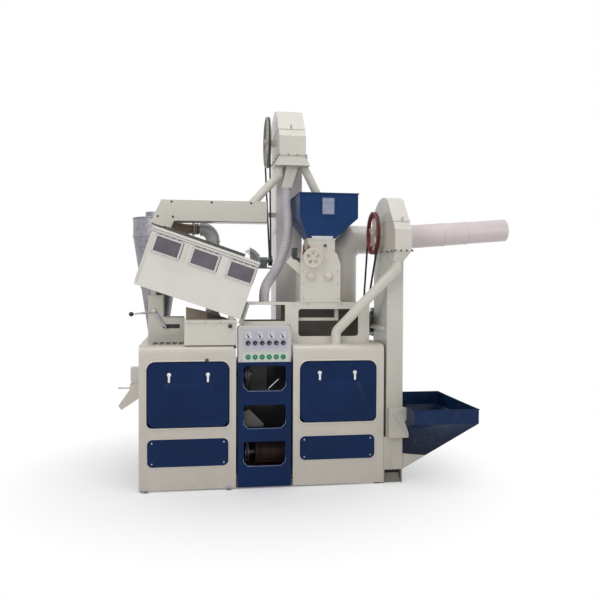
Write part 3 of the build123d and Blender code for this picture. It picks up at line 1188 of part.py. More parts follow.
def bran_duct():
    """Riser from the cabinet's top, a round elbow, and the thin pipe to the cyclone."""
    x, y = BRAN_AT
    joint, step = INLET_X[1] + 12, x - BRAN_BEND - 15
    riser = tube([(x, y, CABINET_TOP), (x, y, BRAN_PIPE_Z), (step, y, BRAN_PIPE_Z)], [BRAN_BEND], BRAN_R, LEG_T)
    seam = Pos(x, y, BRAN_PIPE_Z - BRAN_BEND - 9)
    duct = riser + (seam * Cylinder(BRAN_R + 8, 6) - seam * Cylinder(BRAN_R, 7))
    duct += rod((step, y, BRAN_PIPE_Z), (step + 3, y, BRAN_PIPE_Z), BRAN_R)
    duct += rod((joint, y, BRAN_PIPE_Z), (step, y, BRAN_PIPE_Z), BRAN_PIPE_R)
    duct += rod((joint, y, BRAN_PIPE_Z), (joint + 8, y, BRAN_PIPE_Z), BRAN_PIPE_R + 14)
    return duct - rod((joint - 1, y, BRAN_PIPE_Z), (step + 10, y, BRAN_PIPE_Z), BRAN_PIPE_R - LEG_T)


def exhaust_elbow():
    """Tall riser behind the husker with a bend of straight mitred lengths to the right."""
    x, y = EXHAUST_AT
    reach = EXHAUST_BEND * math.tan(math.radians(22.5))
    corner = EXHAUST_PIPE_Z - EXHAUST_BEND + reach
    points = [(x, y, FAN_DUCT_Z[1]), (x, y, corner), (x + EXHAUST_BEND - reach, y, EXHAUST_PIPE_Z)]
    path = Polyline(*points, (EXHAUST_JOINT_X, y, EXHAUST_PIPE_Z))
    start = Plane(origin=path @ 0, z_dir=path % 0)
    pipe = sweep(start * Circle(EXHAUST_R), path=path, transition=Transition.RIGHT)
    return pipe - sweep(start * Circle(EXHAUST_R - PIPE_T), path=path, transition=Transition.RIGHT)


def outlet_pipe():
    """Reducer and a long pipe that rises a little, in lengths that slip into each other."""
    y = EXHAUST_AT[1]
    start = Vector(EXHAUST_JOINT_X, y, EXHAUST_PIPE_Z)
    end = Vector(OUTLET_END[0], y, OUTLET_END[1])
    way = (end - start).normalized()
    tip = (end - start).length + 20
    first, second, third = OUTLET_LENGTHS
    wide, middle, thin = OUTLET_R, OUTLET_R - OUTLET_STEP, OUTLET_R - 2 * OUTLET_STEP
    profile = [(EXHAUST_R, 0), (EXHAUST_R, 50), (wide, first), (wide, second)]
    profile += [(middle, second), (middle, third), (thin, third), (thin, tip)]
    inner = [(r - PIPE_T, s) for r, s in reversed(profile)]
    wall = make_face(Polyline(*(profile + inner), close=True))
    pipe = Plane(origin=start - way * 20, z_dir=way) * revolve(Plane.XZ * wall, Axis.Z)
    reach = 2 * EXHAUST_R
    return pipe & block(EXHAUST_JOINT_X, end.X + reach, y - reach, y + reach, start.Z - reach, end.Z + reach)


def suction_fan():
    """Fan scroll in the right cabinet with its outlet box under the riser."""
    x, z = FAN_AT
    y0, y1 = FAN_Y
    back = EXHAUST_AT[1] + EXHAUST_R + 8
    scroll = rod((x, y0, z), (x, y1, z), FAN_R)
    scroll += block(x, FAN_DUCT_X[1], y0, y1, *FAN_DUCT_Z)
    scroll += block(x - 110, x + 110, y0 + 20, y1 - 20, FRAME_TOP + SHEET, z)
    duct = block(*FAN_DUCT_X, y1, back, *FAN_DUCT_Z)
    duct -= block(*inset_box(FAN_DUCT_X, SHEET), y1, back - SHEET, *inset_box(FAN_DUCT_Z, SHEET))
    duct -= rod((*EXHAUST_AT, FAN_DUCT_Z[1] - SHEET - 1), (*EXHAUST_AT, FAN_DUCT_Z[1] + 1), EXHAUST_R - PIPE_T)
    scroll -= rod((x, y0 + SHEET, z), (x, y1 - SHEET, z), FAN_R - SHEET)
    scroll -= rod((x, y0 - 1, z), (x, y0 + SHEET + 1, z), 80)
    return scroll + duct


# Rice outlet


def rice_spout():
    """Upper box against the cabinet and a bent chute that is open at its tip."""
    y0, y1 = SPOUT_Y
    reach, low, high = SPOUT_BOX
    t, neck = SPOUT_T, low - 20
    upper = block(-reach, 0, y0, y1, low, high)
    upper -= block(t - reach, 0, *inset_box(SPOUT_Y, t), low + t, high - t)
    upper += block(7 - reach, 0, y0 + 6, y1 - 6, neck, low)
    shape = [(0, neck), (-reach - 3, neck), (-reach - 7, neck - 43), (-172, 634), (-147, 602), (0, 700)]
    room = [(-t, neck + 1), (-reach, neck + 1), (-reach - 4, neck - 42), (-176, 625), (-151, 593), (-t, 702)]
    chute = across(outline(shape), y0, y1) - across(outline(room), *inset_box(SPOUT_Y, t))
    spout = upper + chute - block(10 - reach, -t, y0 + 9, y1 - 9, neck - 13, low + t + 1)
    y = (y0 + y1) / 2
    return spout - rod((-100, y, GATE_Z), (-70, y, GATE_Z), GATE_R + SHAFT_FIT)


def gate_rod():
    """Pressure gate: a plate in the chute on a rod that sticks out to the left."""
    y = (SPOUT_Y[0] + SPOUT_Y[1]) / 2
    plate = block(-58, -52, SPOUT_Y[0] + 12, SPOUT_Y[1] - 12, GATE_Z - 28, GATE_Z + 28)
    return plate + rod((-55, y, GATE_Z), (-179, y, GATE_Z), GATE_R)


def write(name, *solids):
    """Save one node, shifted so that the origin is the centre of the base."""
    shift = Location((-CENTRE_X, -CENTRE_Y, 0))
    parts = [s.moved(shift) for shape in solids for s in shape.solids()]
    shape = parts[0] if len(parts) == 1 else Compound(children=parts)
    export_step(shape, f"parts/{name}.step")


def main():
    os.makedirs("parts", exist_ok=True)
    write("base_frame", base_frame())
    write("left_cabinet", left_cabinet())
    write("right_cabinet", right_cabinet())
    write("left_upper_door", upper_door(LEFT_DOOR, LEFT_LATCH_X))
    write("right_upper_door", upper_door(RIGHT_DOOR, RIGHT_LATCH_X))
    for i, x in enumerate(LEFT_LATCH_X + RIGHT_LATCH_X, start=1):
        write(f"door_latch_{i}", latch(x, 1 if i % 2 else -1))
    write("lower_panels", lower_panel(LEFT_PANEL), lower_panel(RIGHT_PANEL))
    write("belt_guard", belt_guard())
    write("control_box", control_box())
    write("ammeters", *[meter(x) for x in METER_XS])
    for i, x in enumerate(BUTTON_XS, start=1):
        write(f"push_button_{i}", button(x))
        write(f"selector_switch_{i}", switch(x))
    write("separator_deck", separator_deck())
    write("deck_windows", *[deck_pane(u) for u in window_places()])
    write("separator_frame", portal(), drive_box())
    write("adjust_lever", adjust_lever())
    write("husker_stand", husker_stand())
    write("husker_body", husker_body())
    write("husker_hopper", husker_hopper())
    write("roller_fast", roll(-1))
    write("roller_slow", roll(1))
    write("hand_wheel", hand_wheel())
    write("left_elevator_leg", left_elevator_leg())
    write("left_elevator_head", left_elevator_head())
    write("left_head_pulley", left_head_pulley())
    write("left_drive_pulley", left_drive_pulley())
    write("right_elevator_leg", right_elevator_leg())
    write("right_elevator_head", right_elevator_head())
    write("right_head_pulley", right_head_pulley())
    write("right_motor_pulley", right_motor_pulley())
    write("elevator_drives", left_bearing(), right_motor())
    left = belt(LEFT_PULLEY_X, (LEFT_PULLEY_Y, LEFT_PULLEY_Z, LEFT_PULLEY_R), (*LEFT_DRIVE_AT, SMALL_PULLEY_R))
    right = belt(RIGHT_PULLEY_X, (RIGHT_PULLEY_Y, RIGHT_PULLEY_Z, RIGHT_PULLEY_R), (*RIGHT_DRIVE_AT, SMALL_PULLEY_R))
    mill = belt(MILL_PULLEY_X, (MILL_Y, MILL_Z, MILL_PULLEY_R), (MILL_Y, MOTOR_Z, MAIN_PULLEY_R))
    write("drive_belts", left, right, mill)
    write("mill_rotor", mill_rotor())
    write("mill_chamber", mill_chamber())
    write("main_motor", main_motor())
    write("main_motor_pulley", main_pulley())
    write("transfer_duct", transfer_duct())
    write("head_spouts", left_spout(), right_spout(), feed_pipe())
    write("separator_hose", separator_hose())
    write("cyclone", cyclone())
    write("bran_duct", bran_duct())
    write("exhaust_elbow", exhaust_elbow())
    write("outlet_pipe", outlet_pipe())
    write("suction_fan", suction_fan())
    write("intake_hopper", intake_hopper())
    write("rice_spout", rice_spout())
    write("gate_rod", gate_rod())


main()
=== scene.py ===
import math

import bmesh
import bpy
from mathutils import Matrix, Vector


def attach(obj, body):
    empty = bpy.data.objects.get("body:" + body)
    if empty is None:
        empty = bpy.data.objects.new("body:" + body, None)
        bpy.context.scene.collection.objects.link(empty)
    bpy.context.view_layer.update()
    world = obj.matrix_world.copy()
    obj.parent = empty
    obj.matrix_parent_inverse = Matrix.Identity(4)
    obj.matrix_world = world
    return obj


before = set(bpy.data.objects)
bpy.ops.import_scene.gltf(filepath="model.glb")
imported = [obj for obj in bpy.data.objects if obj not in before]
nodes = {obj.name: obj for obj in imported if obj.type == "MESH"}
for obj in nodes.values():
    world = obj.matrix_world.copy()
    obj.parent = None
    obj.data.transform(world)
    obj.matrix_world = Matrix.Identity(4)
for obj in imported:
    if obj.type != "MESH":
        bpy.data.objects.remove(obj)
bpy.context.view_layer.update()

# Studio. A pale floor that fades into a white surround, one broad lamp over the left shoulder,
# a weaker one from the right and a top lamp for the rounded cabinet edges.
scene = bpy.context.scene
scene.view_settings.view_transform = "Standard"


class Value:
    """A socket that can be added, multiplied and so on; each step adds its Math node."""

    def __init__(self, finish, socket):
        self.finish, self.socket = finish, socket

    def math(self, operation, *others):
        values = dict(enumerate((self, *others)))
        return self.finish.node("ShaderNodeMath", values, operation=operation)

    def __add__(self, other):
        return self.math("ADD", other)

    def __sub__(self, other):
        return self.math("SUBTRACT", other)

    def __mul__(self, other):
        return self.math("MULTIPLY", other)

    def __rsub__(self, other):
        return self.finish.node("ShaderNodeMath", {0: other, 1: self}, operation="SUBTRACT")

    __radd__, __rmul__ = __add__, __mul__

    def above(self, low, high):
        """0 below low, 1 over high, and a straight rise between."""
        inputs = {"Value": self, "From Min": low, "From Max": high}
        return self.finish.node("ShaderNodeMapRange", inputs, clamp=True)


class Finish:
    """One material and the nodes behind it."""

    def __init__(self, owner):
        self.material = owner
        owner.use_nodes = True
        self.tree = owner.node_tree
        self.tree.nodes.clear()

    def node(self, kind, inputs=None, out=0, **settings):
        made = self.tree.nodes.new(kind)
        for key, value in settings.items():
            setattr(made, key, value)
        for key, value in (inputs or {}).items():
            if isinstance(value, Value):
                self.tree.links.new(value.socket, made.inputs[key])
            else:
                made.inputs[key].default_value = value
        return Value(self, made.outputs[out]) if made.outputs else None

    def place(self):
        return self.node("ShaderNodeTexCoord", out="Object")

    def axis(self, letter):
        return self.node("ShaderNodeSeparateXYZ", {0: self.place()}, out=letter)

    def noise(self, scale, detail=3.0, roughness=0.5):
        inputs = {"Vector": self.place(), "Scale": scale, "Detail": detail, "Roughness": roughness}
        return self.node("ShaderNodeTexNoise", inputs)

    def mix(self, mask, first, second):
        inputs = {0: mask, 6: first, 7: second}
        return self.node("ShaderNodeMix", inputs, out=2, data_type="RGBA")

    def bump(self, height, depth, strength):
        return self.node("ShaderNodeBump", {"Height": height, "Distance": depth, "Strength": strength})

    def surface(self, **inputs):
        names = {key.replace("_", " "): value for key, value in inputs.items()}
        shader = self.node("ShaderNodeBsdfPrincipled", names)
        self.node("ShaderNodeOutputMaterial", {"Surface": shader})
        return self.material

    def seen(self):
        """1 where the camera, a reflection or glass looks at this surface."""
        rays = ("Camera", "Glossy", "Transmission")
        camera, glossy, through = (self.node("ShaderNodeLightPath", out=f"Is {ray} Ray") for ray in rays)
        return camera.math("MAXIMUM", glossy).math("MAXIMUM", through)


def rgb(red, green, blue):
    """A colour as a screen shows it, 0 to 255, made linear."""
    def linear(value):
        value /= 255
        return value / 12.92 if value <= 0.04045 else ((value + 0.055) / 1.055) ** 2.4

    return linear(red), linear(green), linear(blue), 1.0


world = bpy.data.worlds.new("surround")
scene.world = world
surround = Finish(world)
soft = surround.node("ShaderNodeBackground", {"Color": (0.94, 0.965, 1.0, 1.0), "Strength": 0.43})
bright = surround.node("ShaderNodeBackground", {"Color": (1.0, 1.0, 1.0, 1.0), "Strength": 1.0})
sky = surround.node("ShaderNodeMixShader", {0: surround.seen(), 1: soft, 2: bright})
surround.node("ShaderNodeOutputWorld", {"Surface": sky})

floor_mesh = bpy.data.meshes.new("floor")
floor_mesh.from_pydata([(-14, -9, 0), (14, -9, 0), (14, 14, 0), (-14, 14, 0)], [], [(0, 1, 2, 3)])
floor = bpy.data.objects.new("floor", floor_mesh)
scene.collection.objects.link(floor)
pale = Finish(bpy.data.materials.new("pale floor"))
reach = pale.node("ShaderNodeVectorMath", {0: pale.place()}, out="Value", operation="LENGTH")
grain = pale.mix(pale.noise(3.0, 4.0), rgb(240, 240, 240), rgb(245, 245, 245))
lit = pale.node("ShaderNodeBsdfPrincipled", {"Base Color": grain, "Roughness": 0.85})
white = pale.node("ShaderNodeEmission", {"Color": (1.0, 1.0, 1.0, 1.0), "Strength": 1.0})
fade = reach.above(0.0, 2.1) * 0.55 + reach.above(0.9, 2.1) * 0.45
ground = pale.node("ShaderNodeMixShader", {0: pale.seen() * fade, 1: lit, 2: white})
pale.node("ShaderNodeOutputMaterial", {"Surface": ground})
floor_mesh.materials.append(pale.material)


def lamp(name, place, target, size, power, colour):
    data = bpy.data.lights.new(name, "AREA")
    data.size, data.energy, data.color = size, power, colour
    made = bpy.data.objects.new(name, data)
    scene.collection.objects.link(made)
    made.location = place
    made.rotation_euler = (Vector(target) - Vector(place)).to_track_quat("-Z", "Y").to_euler()


lamp("key", (-4.4, -6.6, 5.2), (0.3, 0.0, 1.2), 3.8, 190.0, (1.0, 0.98, 0.955))
lamp("fill", (5.6, -5.6, 2.8), (0.8, 0.0, 1.2), 3.4, 74.0, (0.96, 0.975, 1.0))
lamp("overhead", (0.4, -2.0, 9.0), (0.4, 0.0, 1.0), 5.0, 228.0, (1.0, 0.995, 0.985))

# Camera. It stands a little left of the middle, about 5.9 m in front at eye level, and looks
# slightly to the right, so that the left ends of the boxes and trunks show.
YAW, PITCH, ROLL = (math.radians(a) for a in (8.635, -1.272, -0.237))
forward = Vector((math.sin(YAW) * math.cos(PITCH), math.cos(YAW) * math.cos(PITCH), math.sin(PITCH)))
level = Vector((math.cos(YAW), -math.sin(YAW), 0.0))
down = forward.cross(level)
right = math.cos(ROLL) * level + math.sin(ROLL) * down
below = -math.sin(ROLL) * level + math.cos(ROLL) * down
eye = Vector((-0.5339, -5.8849, 1.5906))
camera_data = bpy.data.cameras.new("camera")
camera_data.sensor_width = 36.0
camera_data.lens = 41.41
camera = bpy.data.objects.new("camera", camera_data)
scene.collection.objects.link(camera)
turn = Matrix((right, -below, -forward)).transposed().to_4x4()
camera.matrix_world = Matrix.Translation(eye) @ turn
scene.camera = camera

# Cabinets. Two boxes of folded sheet with rounded top edges, under cream enamel with a slight
# orange peel, faint drifts of tone, and dust that gathers towards the floor. Black strips and
# stops sit on the left one.


def dress(material, *names):
    """Gives CAD nodes a finish; their meshes and places stay as they are."""
    for name in names:
        slots = nodes[name].data.materials
        slots.clear()
        slots.append(material)


def enamel(name, colour, shade, roughness=0.34, dusty=0.35, painted_shade_depth=None):
    """Sprayed enamel; behind a given depth, in metres, the tone is darkened to a dull grey as painted shade.
    """
    finish = Finish(bpy.data.materials.new(name))
    drift = finish.noise(1.7, 4.0, 0.6).above(0.35, 0.7)
    tone = finish.mix(drift, colour, shade)
    low = 1.0 - finish.axis("Z").above(0.0, 1.1)
    dust = low * (finish.noise(9.0, 5.0, 0.65).above(0.3, 0.75) * 0.4 + 0.6) * dusty
    tone = finish.mix(dust, tone, rgb(142, 130, 117))
    if painted_shade_depth:
        tone = finish.mix(finish.axis("Y").above(painted_shade_depth, painted_shade_depth + 0.004), tone, rgb(122, 116, 106))
    rough = finish.noise(24.0, 3.0) * 0.16 + (roughness - 0.08) + dust * 0.3
    peel = finish.bump(finish.noise(420.0, 2.0), 0.0003, 0.35)
    return finish.surface(Base_Color=tone, Roughness=rough, Normal=peel, Coat_Weight=0.25, Coat_Roughness=0.2)


CREAM = enamel("cream enamel", rgb(211, 207, 197), rgb(203, 198, 187))
CABINET = enamel("cabinet enamel", rgb(205, 199, 189), rgb(197, 191, 180), dusty=0.42)
dress(CABINET, "left_cabinet", "right_cabinet")


def at(x, y, z):
    """A point in millimetres: x from the left cabinet's left side, y from its front, z up."""
    return Vector((x - 958.0, y - 545.0, z)) / 1000


def slab(mesh, points, depth):
    """A flat outline, in millimetres, made solid along a depth vector."""
    near = [mesh.verts.new(at(*p)) for p in points]
    far = [mesh.verts.new(v.co + Vector(depth) / 1000) for v in near]
    mesh.faces.new(near)
    mesh.faces.new(list(reversed(far)))
    for i in range(len(near)):
        j = (i + 1) % len(near)
        mesh.faces.new((near[j], near[i], far[i], far[j]))


def plate(mesh, x0, x1, z0, z1, y, thick):
    """An upright rectangle of sheet that faces the front."""
    slab(mesh, [(x0, y, z0), (x1, y, z0), (x1, y, z1), (x0, y, z1)], (0, thick, 0))


def level_corners(x0, x1, y0, y1, z):
    """The corners of a level rectangle, in order round it."""
    return [(x0, y0, z), (x1, y0, z), (x1, y1, z), (x0, y1, z)]


def circle(mesh, centre, side, other, radius, sides):
    """A ring of corners about a centre; the radius is in millimetres."""
    turns = [math.tau * i / sides for i in range(sides)]
    spokes = [side * math.cos(a) + other * math.sin(a) for a in turns]
    return [mesh.verts.new(centre + spoke * radius / 1000) for spoke in spokes]


def skin(mesh, near, far):
    """The wall between two rings of corners."""
    for i in range(len(near)):
        j = (i + 1) % len(near)
        mesh.faces.new((near[i], near[j], far[j], far[i]))


def lathe(mesh, start, direction, profile, sides=24, hollow=False):
    """Turned shape: (radius, distance) pairs about a line from start, all in millimetres.
    A hollow one's last pair joins its first, which leaves the bore open."""
    line = Vector(direction).normalized()
    side = line.orthogonal().normalized()
    other = line.cross(side)
    rings = []
    for radius, distance in profile:
        centre = at(*start) + line * distance / 1000
        if radius == 0:
            rings.append([mesh.verts.new(centre)])
        else:
            rings.append(circle(mesh, centre, side, other, radius, sides))
    for near, far in zip(rings, rings[1:] + rings[:1] if hollow else rings[1:]):
        for i in range(sides):
            j = (i + 1) % sides
            corners = [near[i % len(near)], near[j % len(near)], far[j % len(far)], far[i % len(far)]]
            mesh.faces.new(list(dict.fromkeys(corners)))
    for end in (rings[0], rings[-1]):
        if len(end) > 1 and not hollow:
            mesh.faces.new(end)


def pipe(mesh, points, radius, sides=10, closed=False):
    """A round bar through points given in millimetres."""
    path = [at(*p) for p in points]
    count = len(path)
    rings = []
    for i, centre in enumerate(path):
        before = path[i - 1] if closed or i else centre
        after = path[(i + 1) % count] if closed or i < count - 1 else centre
        along = (after - before).normalized()
        side = along.cross(Vector((0.13, 0.97, 0.21))).normalized()
        rings.append(circle(mesh, centre, side, along.cross(side), radius, sides))
    for i in range(count if closed else count - 1):
        skin(mesh, rings[i], rings[(i + 1) % count])
    if not closed:
        mesh.faces.new(rings[0])
        mesh.faces.new(rings[-1])


def piece(name, mesh, material, body="station", bevel=0.0):
    """Turns drawn shapes into one object that rides on a body."""
    bmesh.ops.recalc_face_normals(mesh, faces=mesh.faces)
    data = bpy.data.meshes.new(name)
    mesh.to_mesh(data)
    mesh.free()
    data.materials.append(material)
    made = bpy.data.objects.new(name, data)
    scene.collection.objects.link(made)
    if bevel:
        edge = made.modifiers.new("softened edges", "BEVEL")
        edge.width, edge.segments, edge.limit_method = bevel / 1000, 2, "ANGLE"
    data.polygons.foreach_set("use_smooth", [True] * len(data.polygons))
    data.set_sharp_from_angle(angle=math.radians(35))
    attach(made, body)


def rounded_outline(x0, x1, z0, z1, y, low, high, steps=8):
    """Points of a rounded outline on the machine's front, low and high corner radius."""
    middles = [(x1 - high, z1 - high, high, 0), (x0 + high, z1 - high, high, 90)]
    middles += [(x0 + low, z0 + low, low, 180), (x1 - low, z0 + low, low, 270)]
    points = []
    for x, z, radius, first in middles:
        for i in range(steps + 1):
            a = math.radians(first + 90 * i / steps)
            points.append((x + radius * math.cos(a), y, z + radius * math.sin(a)))
    return points


LEFT_DOOR, RIGHT_DOOR = (64, 681, 495, 991), (1243, 1849, 511, 985)
LEFT_PANEL, RIGHT_PANEL = (63, 678, 191, 402), (1239, 1840, 211, 398)
lips = bmesh.new()
for x0, x1, z0, z1 in (LEFT_DOOR, RIGHT_DOOR):
    pipe(lips, rounded_outline(x0 - 12, x1 + 12, z0 - 12, z1 + 12, -1, 46, 72), 6, closed=True)
for x0, x1, z0, z1 in (LEFT_PANEL, RIGHT_PANEL):
    pipe(lips, rounded_outline(x0 - 4, x1 + 4, z0 - 4, z1 + 4, -0.5, 44, 44), 4, closed=True)
piece("rolled_lips", lips, CREAM)

FRONT = (0, -1, 0)
ROOF = 1120
buffers = bmesh.new()
for x in (112, 162, 212, 262, 312):
    slab(buffers, level_corners(x - 19, x + 19, 130, 338, ROOF), (0, 0, 1.6))
lathe(buffers, (718, 14, 1107), (1, 0, 0), [(0, 0), (7, 1), (9, 4), (9, 20), (7, 24), (0, 25)])
lathe(buffers, (513, -6, 1006), FRONT, [(0, 0), (14, 0), (14, 5), (10, 9), (0, 10)])
BLACK = enamel("frame black", rgb(34, 34, 36), rgb(24, 24, 26), 0.5)
piece("cabinet_buffers", buffers, BLACK, bevel=0.5)

# Screws and bolts. Zinc or blackened hexagon heads on washers, set wherever two sheets meet.
# One node tree draws a head on each marked point.


def bolt_tree():
    tree = bpy.data.node_groups.new("bolt heads", "GeometryNodeTree")
    socket = tree.interface.new_socket
    socket("Points", in_out="INPUT", socket_type="NodeSocketGeometry")
    sizes = {"Head Width": 0.011, "Head Height": 0.005, "Washer Width": 0.017, "Washer Height": 0.0015}
    for label, size in sizes.items():
        socket(label, in_out="INPUT", socket_type="NodeSocketFloat").default_value = size
    socket("Facing", in_out="INPUT", socket_type="NodeSocketVector")
    socket("Metal", in_out="INPUT", socket_type="NodeSocketMaterial")
    socket("Heads", in_out="OUTPUT", socket_type="NodeSocketGeometry")

    def node(kind, inputs, **settings):
        made = tree.nodes.new(kind)
        for key, value in settings.items():
            setattr(made, key, value)
        for key, value in inputs.items():
            if isinstance(value, bpy.types.NodeSocket):
                tree.links.new(value, made.inputs[key])
            else:
                made.inputs[key].default_value = value
        return made.outputs[0] if made.outputs else None

    given = tree.nodes.new("NodeGroupInput").outputs

    def half(socket):
        return node("ShaderNodeMath", {0: socket, 1: 0.5}, operation="MULTIPLY")

    def disc(width, height, base, sides):
        drum = node("GeometryNodeMeshCylinder", {"Vertices": sides, "Radius": half(width), "Depth": height})
        rise = node("ShaderNodeMath", {0: half(height), 1: base}, operation="ADD")
        lift = node("ShaderNodeCombineXYZ", {"Z": rise})
        return node("GeometryNodeTransform", {"Geometry": drum, "Translation": lift})

    washer = disc(given["Washer Width"], given["Washer Height"], 0.0, 16)
    head = disc(given["Head Width"], given["Head Height"], given["Washer Height"], 6)
    both = tree.nodes.new("GeometryNodeJoinGeometry")
    for part in (washer, head):
        tree.links.new(part, both.inputs[0])
    turn_to = node("FunctionNodeAlignRotationToVector", {"Vector": given["Facing"]}, axis="Z")
    spread = {"Points": given["Points"], "Instance": both.outputs[0], "Rotation": turn_to}
    heads = node("GeometryNodeInstanceOnPoints", spread)
    real = node("GeometryNodeRealizeInstances", {0: heads})
    done = node("GeometryNodeSetMaterial", {"Geometry": real, "Material": given["Metal"]})
    node("NodeGroupOutput", {0: done})
    return tree


def grown(name, source, tree, settings, body):
    """Runs a node tree on a mesh once and keeps the plain result."""
    made = bpy.data.objects.new(name, source)
    scene.collection.objects.link(made)
    growth = made.modifiers.new("growth", "NODES")
    growth.node_group = tree
    for item in tree.interface.items_tree:
        if item.item_type == "SOCKET" and item.in_out == "INPUT" and item.name in settings:
            growth[item.identifier] = settings[item.name]
    plain = bpy.data.meshes.new_from_object(made.evaluated_get(bpy.context.evaluated_depsgraph_get()))
    made.modifiers.remove(growth)
    made.data = plain
    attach(made, body)


BOLTS = bolt_tree()


def bolts(name, places, facing, metal, width=12, washer=19, body="station"):
    """One object with a head on each place; all of them face one way."""
    points = bpy.data.meshes.new(name)
    points.from_pydata([at(*place) for place in places], [], [])
    sizes = {"Head Width": width / 1000, "Washer Width": washer / 1000}
    grown(name, points, BOLTS, {**sizes, "Facing": facing, "Metal": metal}, body)


def spangle(finish, cells):
    """The crystal flowers of hot-dip zinc, as a grey value."""
    inputs = {"Vector": finish.place(), "Scale": cells}
    flower = finish.node("ShaderNodeTexVoronoi", inputs, out="Color")
    return finish.node("ShaderNodeSeparateColor", {0: flower})


def bare_metal(name, bright_tone, dull_tone, roughness, cells=0.0, scale=18.0):
    finish = Finish(bpy.data.materials.new(name))
    cloud = finish.noise(scale, 4.0, 0.6).above(0.3, 0.7)
    if cells:
        cloud = cloud * 0.45 + spangle(finish, cells) * 0.55
    tone = finish.mix(cloud, dull_tone, bright_tone)
    rough = cloud * 0.14 + (roughness - 0.07)
    scratch = finish.bump(finish.noise(260.0, 3.0), 0.0003, 0.3)
    return finish.surface(Base_Color=tone, Roughness=rough, Normal=scratch, Metallic=0.85)


def corner_spots(x0, x1, z0, z1, beside, over):
    """Four spots inside the corners of an upright outline."""
    return [(x, z) for x in (x0 + beside, x1 - beside) for z in (z0 + over, z1 - over)]


ZINC = bare_metal("zinc plate", rgb(196, 196, 198), rgb(150, 150, 154), 0.34)
screw_places = []
for outline in (LEFT_PANEL, RIGHT_PANEL):
    screw_places += [(x, -5, z) for x, z in corner_spots(*outline, 34, 26)]
bolts("panel_screws", screw_places, FRONT, ZINC, 9, 13)

# Base frame. Welded channels in black enamel under both cabinets; small plated straps with
# one black bolt each hold the front edge down.
dress(BLACK, "base_frame")
straps = bmesh.new()
STRAPS_X = (51, 682)
for x in STRAPS_X:
    slab(straps, level_corners(x - 24, x + 24, 0, -26, 0.5), (0, 0, 3))
    plate(straps, x - 24, x + 24, 0.5, 30, -3, 3)
piece("floor_straps", straps, ZINC, bevel=0.8)
strap_bolts = [(x, -15, 3.5) for x in STRAPS_X]
bolts("floor_strap_bolts", strap_bolts, (0, 0, 1), BLACK, 13, 20)

# Doors and lower panels. Pressed sheet under deep blue enamel, each door with a raised field
# and two chromed latches whose grips hang down.


def blue_coat(name, colour, shade):
    """Deep blue enamel with a fine orange peel and a few pale scuffs."""
    finish = Finish(bpy.data.materials.new(name))
    drift = finish.noise(2.3, 4.0, 0.6).above(0.35, 0.7)
    tone = finish.mix(drift, colour, shade)
    scuff = finish.noise(55.0, 6.0, 0.75).above(0.66, 0.8) * 0.12
    tone = finish.mix(scuff, tone, rgb(96, 110, 140))
    peel = finish.bump(finish.noise(300.0, 2.0), 0.0004, 0.4)
    rough = finish.noise(12.0) * 0.14 + 0.24
    return finish.surface(Base_Color=tone, Roughness=rough, Normal=peel, Specular_IOR_Level=0.15)


def pressed_field(mesh, corners, y, profile, radius=64, steps=8):
    """A raised field between (x, z) corners, anticlockwise; its edge follows (inset, height) pairs."""
    points = [Vector(corner) for corner in corners]
    edges = [(after - here).normalized() for here, after in zip(points, points[1:] + points[:1])]
    normals = [Vector((edge.y, -edge.x)) for edge in edges]
    rings = []
    for inset, height in profile:
        loop = []
        for i, corner in enumerate(points):
            before, after = normals[i - 1], normals[i]
            middle = corner - (before + after) * (radius / (1 + before.dot(after)))
            first, sweep = math.atan2(before.y, before.x), before.angle(after)
            for k in range(steps + 1):
                a = first + sweep * k / steps
                x, z = middle + Vector((math.cos(a), math.sin(a))) * (radius - inset)
                loop.append(mesh.verts.new(at(x, y - height, z)))
        rings.append(loop)
    for near, far in zip(rings, rings[1:]):
        skin(mesh, near, far)
    mesh.faces.new(rings[0])
    mesh.faces.new(rings[-1])


BLUE = blue_coat("blue enamel", rgb(8, 38, 80), rgb(5, 31, 68))
dress(BLUE, "left_upper_door", "right_upper_door", "lower_panels", "belt_guard")
SWELL = [(0, -0.8), (3, 0.3), (8, 1.6), (16, 4.0), (24, 6.0), (32, 7.2), (40, 7.8), (48, 8.0)]
for door, (x0, x1, z0, z1) in (("left_door", LEFT_DOOR), ("right_door", RIGHT_DOOR)):
    field = bmesh.new()
    corners = [(x0 + 52, z0 + 58), (x1 - 52, z0 + 58), (x1 - 128, z1 - 158), (x0 + 128, z1 - 158)]
    pressed_field(field, corners, -8.6, SWELL)
    piece(f"{door}_field", field, BLUE, door)
CHROME = bare_metal("chrome", rgb(232, 232, 236), rgb(205, 205, 210), 0.14, scale=40.0)
dress(CHROME, *(f"door_latch_{i}" for i in range(1, 5)))

# Belt guard. A tall blue pan between the cabinets with three openings whose edges are folded
# inwards and painted a paler blue as a painted highlight; through them show the drive, a back
# sheet painted near black as shade and the ends of the inner brackets.
# The back sheet's near black is painted shade for the inside of the guard.
PAINTED_SHADE_BLACK = enamel("painted shade black", rgb(30, 28, 28), rgb(20, 19, 20), 0.7, 0.0)
back = bmesh.new()
plate(back, 754, 1166, 70, 984, 419, 3)
piece("guard_back", back, PAINTED_SHADE_BLACK)
WINDOW_SILLS = (762, 470, 175)
